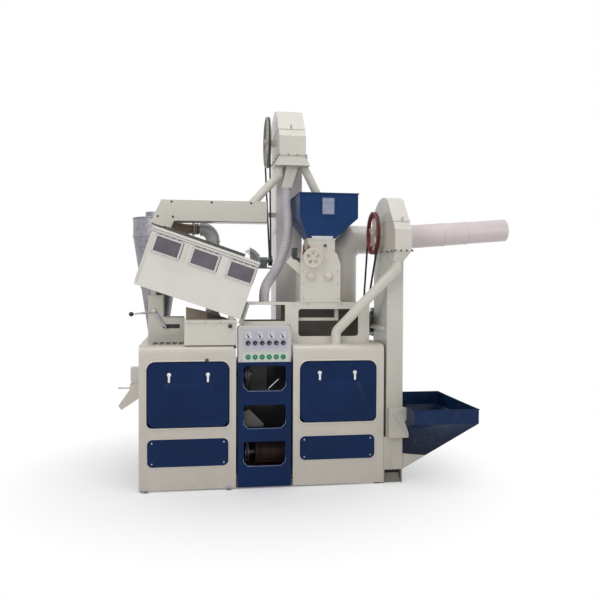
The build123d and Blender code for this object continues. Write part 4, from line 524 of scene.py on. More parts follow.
# The folded edges get a paler blue than the pan, a painted highlight.
PAINTED_HIGHLIGHT_BLUE = enamel("painted highlight blue edge", rgb(92, 104, 140), rgb(70, 82, 120), 0.35, 0.0)
folds = bmesh.new()
for z in WINDOW_SILLS:
    edge = [(795, z + 62), (795, z + 35), (830, z - 1), (1090, z - 1), (1125, z + 35), (1125, z + 62)]
    pipe(folds, [(x, -1, height) for x, height in edge], 3.6)
piece("guard_window_edges", folds, PAINTED_HIGHLIGHT_BLUE)
DARK_GREY = enamel("inner bracket grey", rgb(74, 72, 72), rgb(60, 58, 58), 0.6, 0.0)
inner = bmesh.new()
plate(inner, 868, 1011, 700, 983, 335, 4)
slab(inner, [(797, 62, 470), (797, 62, 594), (848, 62, 609), (960, 62, 492), (955, 62, 470)], (0, 3, 0))
slab(inner, [(797, 62, 590), (797, 95, 590), (848, 95, 605), (848, 62, 605)], (0, 0, 3))
piece("guard_brackets", inner, DARK_GREY, bevel=1.0)
stay = bmesh.new()
pipe(stay, [(996, 70, 760), (1004, 70, 776), (1076, 78, 840), (1084, 90, 846)], 4)
pipe(stay, [(893, 328, 758), (893, 328, 815)], 3)
piece("tension_lever", stay, ZINC)
rust = Finish(bpy.data.materials.new("motor red lead"))
smear = rust.noise(9.0, 4.0).above(0.35, 0.7)
red_lead = rust.mix(smear, rgb(44, 29, 24), rgb(19, 17, 17))
rust.surface(Base_Color=red_lead, Roughness=smear * 0.3 + 0.55, Specular_IOR_Level=0.2)
dress(rust.material, "main_motor")

# Control box. A lavender grey pan with two stuck-on plates, four square meters, six rotary
# knobs and six green push buttons with pale lenses in green bezels.
LAVENDER = enamel("fascia enamel", rgb(196, 192, 190), rgb(188, 184, 183), 0.36, 0.0)
dress(LAVENDER, "control_box")
PLATE = enamel("meter plate", rgb(188, 185, 199), rgb(180, 177, 193), 0.3, 0.0)
PALE_PLATE = enamel("button plate", rgb(198, 205, 197), rgb(190, 199, 190), 0.3, 0.0)
upper = bmesh.new()
plate(upper, 793, 1139, 1090, 1240, -4.9, 0.8)
piece("meter_plate", upper, PLATE, bevel=0.3)
lower = bmesh.new()
plate(lower, 790, 1142, 994, 1066, -4.9, 0.8)
piece("button_plate", lower, PALE_PLATE, bevel=0.3)
fascia_corners = [(x, -4, z) for x, z in corner_spots(776, 1154, 1004, 1248, 0, 0)]
bolts("fascia_screws", fascia_corners, FRONT, ZINC, 7, 10)


def plastic(name, colour, shade, roughness):
    finish = Finish(bpy.data.materials.new(name))
    tone = finish.mix(finish.noise(30.0).above(0.3, 0.7), colour, shade)
    rough = finish.noise(160.0, 2.0) * 0.1 + (roughness - 0.05)
    grain = finish.bump(finish.noise(900.0, 2.0), 0.0001, 0.3)
    return finish.surface(Base_Color=tone, Roughness=rough, Normal=grain)


METER_WHITE = plastic("meter case", rgb(214, 214, 216), rgb(204, 204, 208), 0.25)
BAKELITE = plastic("black plastic", rgb(34, 30, 29), rgb(24, 21, 21), 0.28)
GREEN = plastic("green plastic", rgb(26, 138, 92), rgb(16, 118, 78), 0.22)
GREEN_LIGHT = plastic("green lens", rgb(92, 170, 130), rgb(70, 150, 112), 0.15)
dress(METER_WHITE, "ammeters")
dress(BAKELITE, *(f"selector_switch_{i}" for i in range(1, 7)))
dress(GREEN, *(f"push_button_{i}" for i in range(1, 7)))
FASCIA_MIDDLE = 966
METER_Z, KNOB_Z, BUTTON_Z = 1190, 1137, 1028
METERS_X = [FASCIA_MIDDLE + (i - 1.5) * 89 for i in range(4)]
BUTTONS_X = [FASCIA_MIDDLE + (i - 2.5) * 55 for i in range(6)]
needles, dials = bmesh.new(), bmesh.new()
for x in METERS_X:
    pointer = [(-2, -10), (2, -10), (1, 4), (-16, 23), (-17, 22)]
    slab(needles, [(x + dx, -13.6, METER_Z + dz) for dx, dz in pointer], (0, 0.6, 0))
    pivot = [(-9, -1), (9, -1), (5, -12), (-5, -12)]
    slab(needles, [(x + dx, -14, METER_Z + dz) for dx, dz in pivot], (0, 1, 0))
    sweep = [math.radians(35 + 110 * k / 12) for k in range(13)]
    scale = [(x + 24 * math.cos(a), -11.5, METER_Z + 24 * math.sin(a)) for a in sweep]
    pipe(needles, scale, 0.7, sides=6)
    plate(dials, x - 20, x + 20, METER_Z + 7, METER_Z + 30, -11.3, 0.3)
piece("meter_needles", needles, BAKELITE)
piece("meter_dials", dials, METER_WHITE, bevel=0.1)
BEZEL = [(12.8, 0), (20, 0), (20, 1.4), (18, 2.6), (14.4, 2.6), (12.8, 1.4)]
LENS = [(0, 0), (6.5, 0), (6, 1.2), (4, 2.0), (0, 2.2)]
MARK_CORNERS = ((1.2, 0), (1.2, 15), (-1.2, 15), (-1.2, 0))
KNOB_MARK = [((a + b) * 0.7071, (a - b) * 0.7071) for a, b in MARK_CORNERS]
bezels = bmesh.new()
for x in BUTTONS_X:
    lathe(bezels, (x, -9, BUTTON_Z), FRONT, BEZEL, 32, hollow=True)
piece("button_bezels", bezels, GREEN)
for number, x in enumerate(BUTTONS_X, 1):
    lens = bmesh.new()
    lathe(lens, (x, -15.8, BUTTON_Z), FRONT, LENS)
    piece(f"button_lens_{number}", lens, GREEN_LIGHT, f"button_{number}")
    stripe = bmesh.new()
    slab(stripe, [(x + dx, -25.4, KNOB_Z + dz) for dx, dz in KNOB_MARK], (0, 0.6, 0))
    piece(f"knob_mark_{number}", stripe, METER_WHITE, f"switch_{number}")

# Paddy separator. A closed cream deck on a cut-out portal and a crank box; a dark ribbed strip
# and a smoked flap close its top, and three smoked panes in raised frames show the trays. The
# deck's dark top and the strip's darker web are painted shade.
SLOPE = math.radians(18.7)
DECK_CORNER = (109, 2034)
DECK_FRONT = 60
PANES_U = (48, 347, 646)


def on_deck(u, v, y):
    """A point on the deck's front view: u down its slope, v square to it, from the top corner."""
    x = DECK_CORNER[0] + u * math.cos(SLOPE) - v * math.sin(SLOPE)
    return x, y, DECK_CORNER[1] - u * math.sin(SLOPE) - v * math.cos(SLOPE)


def deck_strip(mesh, u0, u1, v0, v1, y, thick):
    """A flat strip that lies along the deck's slope."""
    slab(mesh, [on_deck(u, v, y) for u, v in ((u0, v1), (u1, v1), (u1, v0), (u0, v0))], (0, thick, 0))


def deck_finish():
    """Cream walls; the top is painted dark as shade, and its last stretch by the low end is the smoked flap.
    """
    finish = Finish(bpy.data.materials.new("deck enamel"))
    corner = at(DECK_CORNER[0], 0, DECK_CORNER[1])
    x, z = finish.axis("X") - corner.x, finish.axis("Z") - corner.z
    proud = x * math.sin(SLOPE) + z * math.cos(SLOPE)
    slope_way = x * math.cos(SLOPE) - z * math.sin(SLOPE)
    set_back = finish.axis("Y").above(-0.43, -0.425)
    # The dark top beyond the front rail is painted shade.
    painted_shade_top = proud.above(0.0002, 0.0009) * set_back
    flap = painted_shade_top * slope_way.above(0.7395, 0.7405)
    drift = finish.noise(2.1, 4.0, 0.6).above(0.35, 0.7)
    tone = finish.mix(drift, rgb(222, 219, 211), rgb(212, 208, 199))
    tone = finish.mix(painted_shade_top, tone, rgb(70, 68, 70))
    tone = finish.mix(flap, tone, rgb(122, 118, 124))
    rough = finish.noise(24.0) * 0.16 + 0.26 - flap * 0.15
    peel = finish.bump(finish.noise(420.0, 2.0), 0.0003, 0.35)
    return finish.surface(Base_Color=tone, Roughness=rough, Normal=peel, Coat_Weight=0.2, Coat_Roughness=0.2)


dress(deck_finish(), "separator_deck")
dress(CREAM, "separator_frame")
FRAME_FACE = -0.4906
pane = Finish(bpy.data.materials.new("smoked pane"))
frame_edge = 1.0 - pane.axis("Y").above(FRAME_FACE, FRAME_FACE + 0.001)
streak = pane.noise(6.0, 4.0, 0.6).above(0.3, 0.7)
tinted = pane.mix(streak, rgb(104, 98, 108), rgb(84, 78, 88))
framed = pane.mix(frame_edge, tinted, rgb(206, 203, 200))
pane.surface(Base_Color=framed, Roughness=frame_edge * 0.25 + streak * 0.1 + 0.1)
dress(pane.material, "deck_windows")
seals = bmesh.new()
deck_strip(seals, -4, 862, 13.6, 17.2, 53.6, 1.4)
deck_strip(seals, -4, 862, 31.4, 34.6, 57.6, 1.4)
for u in PANES_U:
    for k in range(4):
        deck_strip(seals, u + 6 + 50 * k, u + 40 + 50 * k, 38.5, 42.5, DECK_FRONT - 3, 3)
    deck_strip(seals, u + 211.5, u + 215.5, 52, 176, DECK_FRONT - 3, 3)
RUBBER = plastic("black rubber", rgb(30, 30, 31), rgb(22, 22, 23), 0.62)
piece("deck_seals", seals, RUBBER, "shaking_deck")
strap = bmesh.new()
STRAP_T = 2.6
deck_strip(strap, 284, 304, 50, 190, DECK_FRONT - STRAP_T, STRAP_T)
deck_strip(strap, -3, 20, 60, 440, DECK_FRONT - STRAP_T, STRAP_T)
piece("deck_straps", strap, CREAM, "shaking_deck", bevel=0.8)


def rib_tree():
    tree = bpy.data.node_groups.new("strip ribs", "GeometryNodeTree")
    socket = tree.interface.new_socket
    socket("Line", in_out="INPUT", socket_type="NodeSocketGeometry")
    socket("Pitch", in_out="INPUT", socket_type="NodeSocketFloat").default_value = 0.024
    socket("Rib Size", in_out="INPUT", socket_type="NodeSocketVector")
    socket("Lean", in_out="INPUT", socket_type="NodeSocketVector")
    socket("Sheet", in_out="INPUT", socket_type="NodeSocketMaterial")
    socket("Ribs", in_out="OUTPUT", socket_type="NodeSocketGeometry")
    given = tree.nodes.new("NodeGroupInput").outputs

    def node(kind, links, **settings):
        made = tree.nodes.new(kind)
        for key, value in settings.items():
            setattr(made, key, value)
        for key, value in links.items():
            tree.links.new(value, made.inputs[key])
        return made.outputs[0] if made.outputs else None

    curve = node("GeometryNodeMeshToCurve", {0: given["Line"]})
    even = node("GeometryNodeResampleCurve", {"Curve": curve, "Length": given["Pitch"]}, mode="LENGTH")
    bar = node("GeometryNodeMeshCube", {"Size": given["Rib Size"]})
    bars = node("GeometryNodeInstanceOnPoints", {"Points": even, "Instance": bar, "Rotation": given["Lean"]})
    real = node("GeometryNodeRealizeInstances", {0: bars})
    done = node("GeometryNodeSetMaterial", {"Geometry": real, "Material": given["Sheet"]})
    node("NodeGroupOutput", {0: done})
    return tree


RIBS = rib_tree()
RIB_GREY = enamel("ribbed strip grey", rgb(104, 102, 104), rgb(84, 82, 86), 0.5, 0.0)
line = bpy.data.meshes.new("deck_strip_ribs")
line.from_pydata([at(*on_deck(u, -20, 177)) for u in (70, 734)], [(0, 1)], [])
rib = {"Pitch": 0.023, "Rib Size": (0.009, 0.008, 0.036), "Lean": (0, SLOPE, 0), "Sheet": RIB_GREY}
grown("deck_strip_ribs", line, RIBS, rib, "shaking_deck")
# A darker copy of the rib grey: painted shade for the web under the ribs, also used on the prop.
RIB_GREY_IN_PAINTED_SHADE = enamel("ribbed strip shade", rgb(78, 76, 78), rgb(62, 60, 64), 0.6, 0.0)
web = bmesh.new()
deck_strip(web, 62, 740, -38, -1, 181, 4)
piece("deck_strip_web", web, RIB_GREY_IN_PAINTED_SHADE, "shaking_deck")
smoked = Finish(bpy.data.materials.new("smoked flap"))
veil = smoked.noise(8.0, 4.0).above(0.3, 0.7)
smoke = smoked.mix(veil, rgb(156, 154, 156), rgb(128, 126, 130))
smoked.surface(Base_Color=smoke, Roughness=veil * 0.1 + 0.18)
FLAP_OUTLINE = ((858, 1782), (938, 1755), (936, 1830), (900, 1866), (856, 1890))
flap = bmesh.new()
slab(flap, [(x, 200, z) for x, z in FLAP_OUTLINE], (0, 3, 0))
piece("deck_end_flap", flap, smoked.material, "shaking_deck", bevel=0.8)
frame_screws = [on_deck(u + du, v, 53) for u in PANES_U for du in (-6, 99, 204) for v in (50, 184)]
bolts("pane_screws", frame_screws, FRONT, ZINC, 5, 8, "shaking_deck")

# Adjusting lever and crank box. A plated steel lever with a black ball tilts the deck through a
# black linkage in the portal; the crank box below carries a bare board that stops the deck.
BALL_MIDDLE, BALL_RADIUS = at(-84, 338, 1348), 0.0196
handle = Finish(bpy.data.materials.new("lever steel and ball"))
apart = {0: handle.place(), 1: BALL_MIDDLE}
knob_at = handle.node("ShaderNodeVectorMath", apart, out="Value", operation="DISTANCE")
ball = 1.0 - knob_at.above(BALL_RADIUS, BALL_RADIUS + 0.0006)
steel_cloud = handle.noise(30.0).above(0.3, 0.7)
plated = handle.mix(steel_cloud, rgb(186, 186, 188), rgb(150, 150, 154))
lever_tone = handle.mix(ball, plated, rgb(26, 25, 26))
handle.surface(Base_Color=lever_tone, Roughness=steel_cloud * 0.1 + 0.28, Metallic=(1.0 - ball) * 0.8)
dress(handle.material, "adjust_lever")
linkage = bmesh.new()
slab(linkage, [(168, 378, 1228), (332, 378, 1228), (332, 378, 1308), (168, 378, 1316)], (0, 6, 0))
pipe(linkage, [(190, 372, 1290), (325, 372, 1284)], 7)
for x in (206, 246, 286):
    lathe(linkage, (x, 378, 1290), FRONT, [(0, 0), (13, 0), (13, 6), (8, 9), (8, 14), (0, 15)])
lathe(linkage, (691, 8, 1268), FRONT, [(0, 0), (10, 0), (16, 5), (17, 12), (13, 19), (0, 22)])
piece("rocker_linkage", linkage, BLACK, bevel=0.8)
cover = bmesh.new()
plate(cover, 160, 308, 1172, 1232, 346, 4)
piece("portal_cover", cover, CREAM, bevel=0.8)
rod = bmesh.new()
pipe(rod, [(112, 333, 1351), (150, 333, 1297), (188, 333, 1243)], 10)
pipe(rod, [(-62, 337, 1350.5), (14, 335, 1360), (88, 333, 1370)], 6.5)
lathe(rod, (97, 331, 1372), FRONT, [(0, 0), (17, 0), (17, 5), (11, 9), (0, 9)])
piece("lever_sleeve", rod, ZINC, "lever")
BOARD = enamel("bare board", rgb(158, 144, 130), rgb(140, 126, 112), 0.6, 0.0)
board = bmesh.new()
slab(board, [(350, 286, 1313.2), (626, 286, 1313.2), (626, 286, 1346), (350, 286, 1408)], (0, 8, 0))
piece("buffer_board", board, BOARD, bevel=1.2)
prop = bmesh.new()
slab(prop, [(520, 283, 1313.2), (690, 283, 1313.2), (640, 283, 1330), (520, 283, 1362)], (0, 2.6, 0))
piece("buffer_prop", prop, RIB_GREY_IN_PAINTED_SHADE, bevel=0.6)
bolts("crank_box_bolts", [(x, 12, 1296) for x in (380, 500, 620)], FRONT, ZINC, 9, 14)

# Husker. A cream box on its folded stand with two rubber rolls inside, maroon nip bars, a black
# pressure switch, a cast hand wheel, and a gated neck up to the blue hopper.
dress(CREAM, "husker_body")
# The stand's inner rails, set back beyond 300 mm, are painted a dull grey as shade.
STAND = enamel("stand enamel", rgb(211, 207, 197), rgb(203, 198, 187), painted_shade_depth=at(0, 300, 0).y)
dress(STAND, "husker_stand")
WHEEL_CREAM = enamel("cast cream", rgb(214, 208, 192), rgb(196, 190, 174), 0.45, 0.0)
dress(WHEEL_CREAM, "hand_wheel")
ROLL = plastic("roll rubber", rgb(176, 160, 132), rgb(160, 144, 118), 0.6)
dress(ROLL, "roller_fast", "roller_slow")
MAROON = enamel("maroon enamel", rgb(126, 40, 46), rgb(104, 32, 38), 0.35, 0.0)
HUSKER_FRONT = 150
NIP_BARS_X, BAR_W, BAR_T = (1276, 1318), 17, 8
nip = bmesh.new()
for x in NIP_BARS_X:
    plate(nip, x, x + BAR_W, 1834, 1915, HUSKER_FRONT - BAR_T, BAR_T)
plate(nip, 1293, 1318, 1858, 1872, 144, 5)
piece("nip_bars", nip, MAROON, bevel=1.5)
nip_ends = [(x + BAR_W / 2, HUSKER_FRONT - BAR_T, z) for x in NIP_BARS_X for z in (1842, 1905)]
bolts("nip_bolts", nip_ends, FRONT, ZINC, 7, 11)
relay = bmesh.new()
RELAY_CASE = ((1198, 1800), (1239, 1790), (1239, 1888), (1198, 1888))
RELAY_ARM = ((1232, 1800), (1250, 1812), (1269, 1782), (1262, 1766))
slab(relay, [(x, 176, z) for x, z in RELAY_CASE], (0, 60, 0))
slab(relay, [(x, 186, z) for x, z in RELAY_ARM], (0, 12, 0))
lathe(relay, (1461, HUSKER_FRONT, 1908), FRONT, [(0, 0), (12, 0), (12, 4), (8, 7), (0, 8)])
piece("pressure_switch", relay, BLACK, bevel=2.0)
body_bolts = [(x, HUSKER_FRONT, z) for x in (1284, 1567) for z in (1480, 1600, 1700)]
bolts("body_bolts", body_bolts, FRONT, ZINC, 10, 16)
CAP = [(0, 0), (30, 0), (30, 3), (22, 8), (22, 14), (16, 18), (0, 18)]
ROLLS_X, ROLLS_Z = (1346.5, 1489.5), 1660
caps = bmesh.new()
for x in ROLLS_X:
    lathe(caps, (x, 134, ROLLS_Z), FRONT, CAP, 32)
piece("roll_bearing_caps", caps, WHEEL_CREAM)
stand_bolts = [(x, HUSKER_FRONT, z) for x in (1206, 1818) for z in (1142, 1428)]
stand_bolts += [(x, HUSKER_FRONT, 1435) for x in (1320, 1600)]
bolts("stand_bolts", stand_bolts, FRONT, ZINC, 11, 17)
# Behind the stand's openings a dark sheet stands in for the shade inside: painted shade.
SHADE = enamel("painted shade sheet", rgb(112, 106, 98), rgb(92, 87, 80), 0.6, 0.0)
backing = bmesh.new()
plate(backing, 1206, 1760, 1160, 1412, 417, 4)
piece("stand_back_sheet", backing, SHADE, bevel=0.8)
brim = bmesh.new()
pipe(brim, level_corners(1251, 1735, 148, 662, 2330), 4.5, closed=True)
piece("hopper_brim", brim, BLUE)
PANE_GREY = plastic("hopper pane", rgb(150, 156, 176), rgb(132, 138, 160), 0.2)
glass = bmesh.new()
plate(glass, 1437, 1535, 2160, 2292, 147, 2.5)
piece("hopper_pane", glass, PANE_GREY)
gate = bmesh.new()
slab(gate, [(1352, 166, 1985), (1532, 166, 1985), (1518, 168, 1950), (1366, 168, 1950)], (0, 3, 0))
piece("gate_plate", gate, METER_WHITE, bevel=0.8)
HOPPER_BLUE = blue_coat("hopper blue", rgb(26, 58, 104), rgb(18, 48, 92))
dress(HOPPER_BLUE, "husker_hopper")

# Bucket elevators. Square trunks of folded sheet with bolted heads: each hood lifts off at a
# flange and is held by a plated over-centre catch.
GREY_CREAM = enamel("grey cream enamel", rgb(204, 201, 191), rgb(192, 189, 178), dusty=0.7)
# The left trunk gets a paler copy of the grey cream, painted light that offsets the beam's shadow on it.
PAINTED_LIGHT_CREAM = enamel("painted light cream enamel", rgb(238, 233, 230), rgb(230, 225, 222), dusty=0.7)
dress(GREY_CREAM, "right_elevator_leg")
dress(PAINTED_LIGHT_CREAM, "left_elevator_leg")
dress(CREAM, "left_elevator_head", "right_elevator_head")
LEFT_FLANGE = (1125, 1352, 465, 2688, (510, 660, 820, 980))
RIGHT_FLANGE = (1938, 2071, -215, 1859, (-170, -20, 130, 290))
front_bolts, side_bolts = [], []
for x0, x1, y0, z, depths in (LEFT_FLANGE, RIGHT_FLANGE):
    front_bolts += [(x0 + (x1 - x0) * k / 3, y0 - 10, z) for k in range(4)]
    side_bolts += [(x0 - 10, y, z) for y in depths]
bolts("head_flange_bolts", front_bolts, FRONT, BLACK, 11, 0.1)
bolts("head_side_bolts", side_bolts, (-1, 0, 0), BLACK, 11, 0.1)
CATCH_BOW = ((-7, -6, 0), (-8, -13, 10), (0, -15, 22), (8, -13, 10), (7, -6, 0))
catches = bmesh.new()
for x, y, z in ((1223, 461, 2922), (1990, -219, 2093)):
    plate(catches, x - 9, x + 9, z - 26, z + 4, y - 6, 6)
    pipe(catches, [(x + dx, y + dy, z + dz) for dx, dy, dz in CATCH_BOW], 2.6)
lathe(catches, (1350, 466, 2672), (1, -0.3, 0), [(0, 0), (10, 0), (10, 14), (6, 18), (0, 18)])
piece("hood_catches", catches, ZINC)
UNDERSIDE = 1855
under_bolts = [(x, -219, UNDERSIDE) for x in (1934, 1982, 2030, 2074)]
under_bolts += [(1934, y, UNDERSIDE) for y in (-140, -40)]
bolts("head_under_bolts", under_bolts, (0, 0, -1), BLACK, 14, 18)
# The boot's cleanout recess: a near-black back sheet and a dark sloping plate, both painted shade.
cleanout, recess = bmesh.new(), bmesh.new()
slab(cleanout, [(1923, 6, 5), (2062, 6, 5), (2050, 30, 78), (1930, 30, 78)], (0, 4, 0))
piece("boot_cleanout", cleanout, SHADE, bevel=0.8)
plate(recess, 1921, 2064, 4, 111, 50, 4)
piece("boot_recess_back", recess, PAINTED_SHADE_BLACK)
crease = bmesh.new()
pipe(crease, [(1950, -57, 600), (2094, -57, 392)], 2.0)
piece("throat_crease", crease, GREY_CREAM)
throat_places = [(2090, -55, 400), (1954, -55, 590), (1954, -55, 400), (2090, -55, 590)]
bolts("throat_screws", throat_places, FRONT, ZINC, 9, 14)

# Service covers. Flat cream sheets with a screw near each corner close the hand holes in both
# cabinets' backs and the left cabinet's side; folded bands hold the trunk lengths together.
LEFT_BACK, RIGHT_BACK = 1090, 430
BACK_COVERS = [(70, 665, 640, 1010, LEFT_BACK), (70, 665, 150, 520, LEFT_BACK)]
BACK_COVERS += [(1240, 1350, 700, 1040, RIGHT_BACK), (1500, 1860, 690, 1040, RIGHT_BACK)]
SIDE_COVERS = [(420, 960, 170, 560), (420, 960, 640, 1030)]
COVER_T, COVER_EDGE = 1.6, 18
covers = bmesh.new()
back_screws, left_screws = [], []
for x0, x1, z0, z1, y in BACK_COVERS:
    plate(covers, x0, x1, z0, z1, y, COVER_T)
    spots = corner_spots(x0, x1, z0, z1, COVER_EDGE, COVER_EDGE)
    back_screws += [(x, y + COVER_T, z) for x, z in spots]
for y0, y1, z0, z1 in SIDE_COVERS:
    slab(covers, [(0, y0, z0), (0, y0, z1), (0, y1, z1), (0, y1, z0)], (-COVER_T, 0, 0))
    spots = corner_spots(y0, y1, z0, z1, COVER_EDGE, COVER_EDGE)
    left_screws += [(-COVER_T, y, z) for y, z in spots]
piece("service_covers", covers, CREAM, bevel=0.5)
LEFT_TRUNK, RIGHT_TRUNK = (1125, 1352, 680, 1082), (1916, 2064, 60, 420)
BAND_H, BAND_T = 32, 5
trunk_bands = bmesh.new()
for (x0, x1, y0, y1), heights in ((LEFT_TRUNK, (700, 1420, 2060)), (RIGHT_TRUNK, (640, 1240))):
    for z in heights:
        foot = level_corners(x0 - BAND_T, x1 + BAND_T, y0 + 8, y1 + BAND_T, z - BAND_H / 2)
        slab(trunk_bands, foot, (0, 0, BAND_H))
piece("trunk_bands", trunk_bands, GREY_CREAM, bevel=1.0)
bolts("cover_screws_back", back_screws, (0, 1, 0), ZINC, 9, 14)
bolts("cover_screws_left", left_screws, (-1, 0, 0), ZINC, 9, 14)

# Drives. Cast pulleys with V-belts; the right head wheel has a maroon rim on cream arms. The
# small motors are ribbed castings in grey green.


def wheel_finish(name, middle, reach, rim_tone, arm_tone):
    """Painted casting whose rim, beyond a reach in metres from the middle, has its own colour."""
    finish = Finish(bpy.data.materials.new(name))
    centre = at(*middle)
    y, z = finish.axis("Y") - centre.y, finish.axis("Z") - centre.z
    far = (y * y + z * z).above(reach * reach, reach * reach * 1.06)
    cast = finish.noise(20.0, 4.0).above(0.3, 0.7)
    tone = finish.mix(far, arm_tone, rim_tone)
    tone = finish.mix(cast * 0.25, tone, rgb(60, 56, 52))
    pits = finish.bump(finish.noise(180.0, 3.0), 0.0006, 0.4)
    return finish.surface(Base_Color=tone, Roughness=cast * 0.15 + 0.38, Normal=pits)


RIGHT_HUB, RIGHT_RIM = (1876, 206, 2016), 0.118
LEFT_HUB, LEFT_RIM = (1064, 881, 2866), 0.19
maroon_rim = wheel_finish("right wheel enamel", RIGHT_HUB, RIGHT_RIM, rgb(132, 40, 44), rgb(206, 196, 184))
dress(maroon_rim, "right_head_pulley")
worn_rim = wheel_finish("left wheel enamel", LEFT_HUB, LEFT_RIM, rgb(150, 146, 140), rgb(196, 190, 180))
dress(worn_rim, "left_head_pulley")
CAST = bare_metal("grey casting", rgb(120, 122, 124), rgb(88, 90, 92), 0.5)
dress(CAST, "left_drive_pulley", "right_motor_pulley", "main_motor_pulley", "mill_rotor")
MOTOR = enamel("motor grey green", rgb(88, 98, 98), rgb(74, 84, 84), 0.45)
dress(MOTOR, "elevator_drives", "mill_chamber")
dress(RUBBER, "drive_belts")

# Ducts, cyclone and fan. Cream folded ducts, a galvanised cyclone with rolled bands, a
# galvanised bran pipe, and the riser behind the husker with its long rose-grey outlet pipe.
dress(CREAM, "transfer_duct", "head_spouts", "suction_fan", "rice_spout")
EXHAUST = enamel("riser grey cream", rgb(238, 234, 226), rgb(230, 225, 216), 0.34, 0.0)
dress(EXHAUST, "exhaust_elbow")
SPANGLE = 38.0
GALVANISED = bare_metal("galvanised sheet", rgb(160, 159, 165), rgb(120, 119, 126), 0.4, SPANGLE)
LIGHT_ZINC = enamel("bright bran pipe", rgb(188, 187, 184), rgb(170, 169, 166), 0.3, 0.0)
dress(LIGHT_ZINC, "bran_duct")
INLET_LEFT, INLET_FOOT = -0.729, 2.0
cone = Finish(bpy.data.materials.new("cyclone sheet"))
beside = cone.axis("X").above(INLET_LEFT, INLET_LEFT + 0.003)
inlet = beside * cone.axis("Z").above(INLET_FOOT, INLET_FOOT + 0.002)
zinc_cloud = spangle(cone, SPANGLE) * 0.5 + cone.noise(5.0, 4.0).above(0.3, 0.7) * 0.5
sheet_tone = cone.mix(zinc_cloud, rgb(120, 119, 126), rgb(162, 161, 167))
sheet_tone = cone.mix(inlet, sheet_tone, rgb(134, 116, 100))
cone.surface(Base_Color=sheet_tone, Roughness=zinc_cloud * 0.15 + 0.33, Metallic=(1.0 - inlet) * 0.8)
dress(cone.material, "cyclone")
DUCT_FRONT = 490
duct_places = [(117, DUCT_FRONT, 2153), (241, DUCT_FRONT, 2151)]
duct_places += [(x, DUCT_FRONT, 2275) for x in (230, 560, 890)]
bolts("duct_bolts", duct_places, FRONT, BLACK, 12, 18)
duct_seals = bmesh.new()
plate(duct_seals, 250, 1030, 2113, 2118, DUCT_FRONT - 1, 1)
plate(duct_seals, 1024, 1030, 2113, 2291, DUCT_FRONT - 4, 4)
piece("duct_joint_seals", duct_seals, RUBBER)
CYCLONE_AXIS = (100, 870)
bands = bmesh.new()
for z, radius in ((2160, 214), (2004, 214), (1560, 148.5), (1124, 79)):
    rolled = [(radius + out, rise) for out, rise in ((-2, 0), (3, 1), (5, 7), (3, 13), (-2, 14))]
    lathe(bands, (*CYCLONE_AXIS, z - 7), (0, 0, 1), rolled, 64, hollow=True)
piece("cyclone_bands", bands, GALVANISED)
seam = bmesh.new()
plate(seam, 92, 104, 2010, 2152, 656, 3)
piece("cyclone_seam", seam, GALVANISED, bevel=0.8)
CANVAS = enamel("beige canvas band", rgb(150, 134, 112), rgb(132, 118, 98), 0.75, 0.0)
FOLDS = [(43, 0), (47, 2), (46, 10), (48, 16), (46, 22), (48, 28), (46, 34), (47, 40), (43, 42)]
BRAN_AXIS = (717, 2068)
sleeve = bmesh.new()
lathe(sleeve, (404, *BRAN_AXIS), (1, 0, 0), FOLDS, 40, hollow=True)
piece("bran_sleeve", sleeve, CANVAS)
clamps = bmesh.new()
for x in (402, 448):
    lathe(clamps, (x, *BRAN_AXIS), (1, 0, 0), [(45, -4), (50, -4), (50, 4), (45, 4)], 40, hollow=True)
piece("bran_clamps", clamps, BLACK)
PIPE = enamel("rose grey enamel", rgb(219, 207, 205), rgb(207, 194, 193), 0.4, 0.0)
dress(PIPE, "outlet_pipe")
PIPE_START, PIPE_RUN = Vector((1900, 560, 1985)), Vector((1280, 0, 103))
beads = bmesh.new()
for distance, radius in ((32, 122), (112, 104), (697, 102), (912, 100)):
    bead = [(radius + out, rise) for out, rise in ((-2, -5), (2, -4), (3.5, 0), (2, 4), (-2, 5))]
    lathe(beads, PIPE_START + PIPE_RUN.normalized() * distance, PIPE_RUN, bead, 56, hollow=True)
piece("outlet_pipe_beads", beads, PIPE)

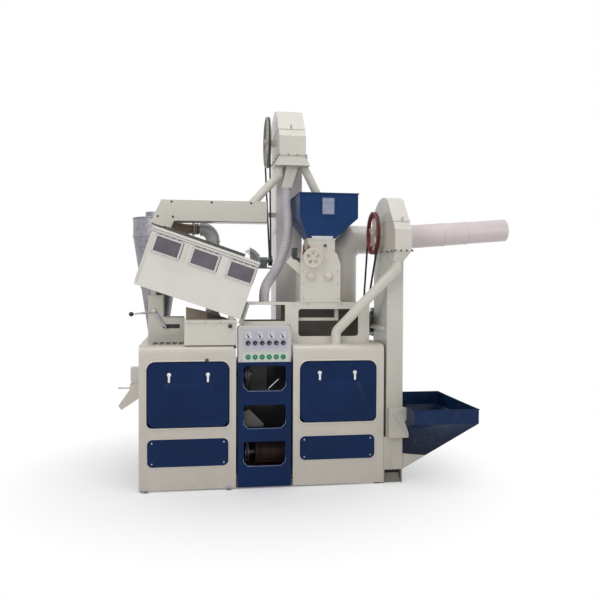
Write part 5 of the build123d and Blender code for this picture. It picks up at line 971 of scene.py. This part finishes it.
# Hose. A ribbed plastic hose hangs from the distributor under the left head down to the stand.
# A cream adaptor holds its upper end; the ribs are relief in the finish, with painted shade in their grooves.
RIB_PITCH, ADAPTOR_FOOT = 0.013, 2.4185
hose = Finish(bpy.data.materials.new("ribbed hose"))
height = hose.axis("Z")
adaptor = height.above(ADAPTOR_FOOT, ADAPTOR_FOOT + 0.001)
wave = (height * (math.tau / RIB_PITCH)).math("SINE") * 0.5 + 0.5
grime = hose.noise(7.0, 4.0).above(0.3, 0.7)
ribbed = hose.mix(grime, rgb(218, 212, 216), rgb(204, 198, 204))
# Darker grooves between the ribs are painted shade.
ribbed = hose.mix(wave * 0.45, ribbed, rgb(156, 150, 158))
hose_tone = hose.mix(adaptor, ribbed, rgb(208, 203, 193))
waves = hose.bump(wave * (1.0 - adaptor), 0.004, 0.8)
hose.surface(Base_Color=hose_tone, Roughness=grime * 0.15 + 0.42, Normal=waves)
dress(hose.material, "separator_hose")

# Intake hopper. Blue folded sheet with a rolled rim, hung on the boot of the right elevator. It
# is darker towards the foot, a painted shade, and carries a little grain dust.
low_blue = Finish(bpy.data.materials.new("intake blue"))
# The darkening towards the foot is painted shade.
shadowed = 1.0 - low_blue.axis("Z").above(0.36, 0.56)
drifts = low_blue.noise(2.6, 4.0, 0.6).above(0.35, 0.7)
coat = low_blue.mix(drifts, rgb(10, 40, 80), rgb(7, 32, 68))
coat = low_blue.mix(shadowed * 0.8, coat, rgb(14, 22, 36))
grain_dust = low_blue.noise(5.0, 5.0, 0.7).above(0.5, 0.75) * 0.16
coat = low_blue.mix(grain_dust, coat, rgb(104, 112, 130))
low_blue.surface(Base_Color=coat, Roughness=drifts * 0.14 + 0.28, Specular_IOR_Level=0.2)
dress(low_blue.material, "intake_hopper")
rim = bmesh.new()
pipe(rim, level_corners(2088, 2607, -262, 658, 625), 5, closed=True)
piece("intake_rim", rim, BLUE)

# Rice outlet. The bent cream chute on the left cabinet has a machined steel rod, which sets its
# pressure gate.
STEEL = bare_metal("machined steel", rgb(186, 186, 190), rgb(150, 150, 156), 0.26, scale=50.0)
dress(STEEL, "gate_rod")
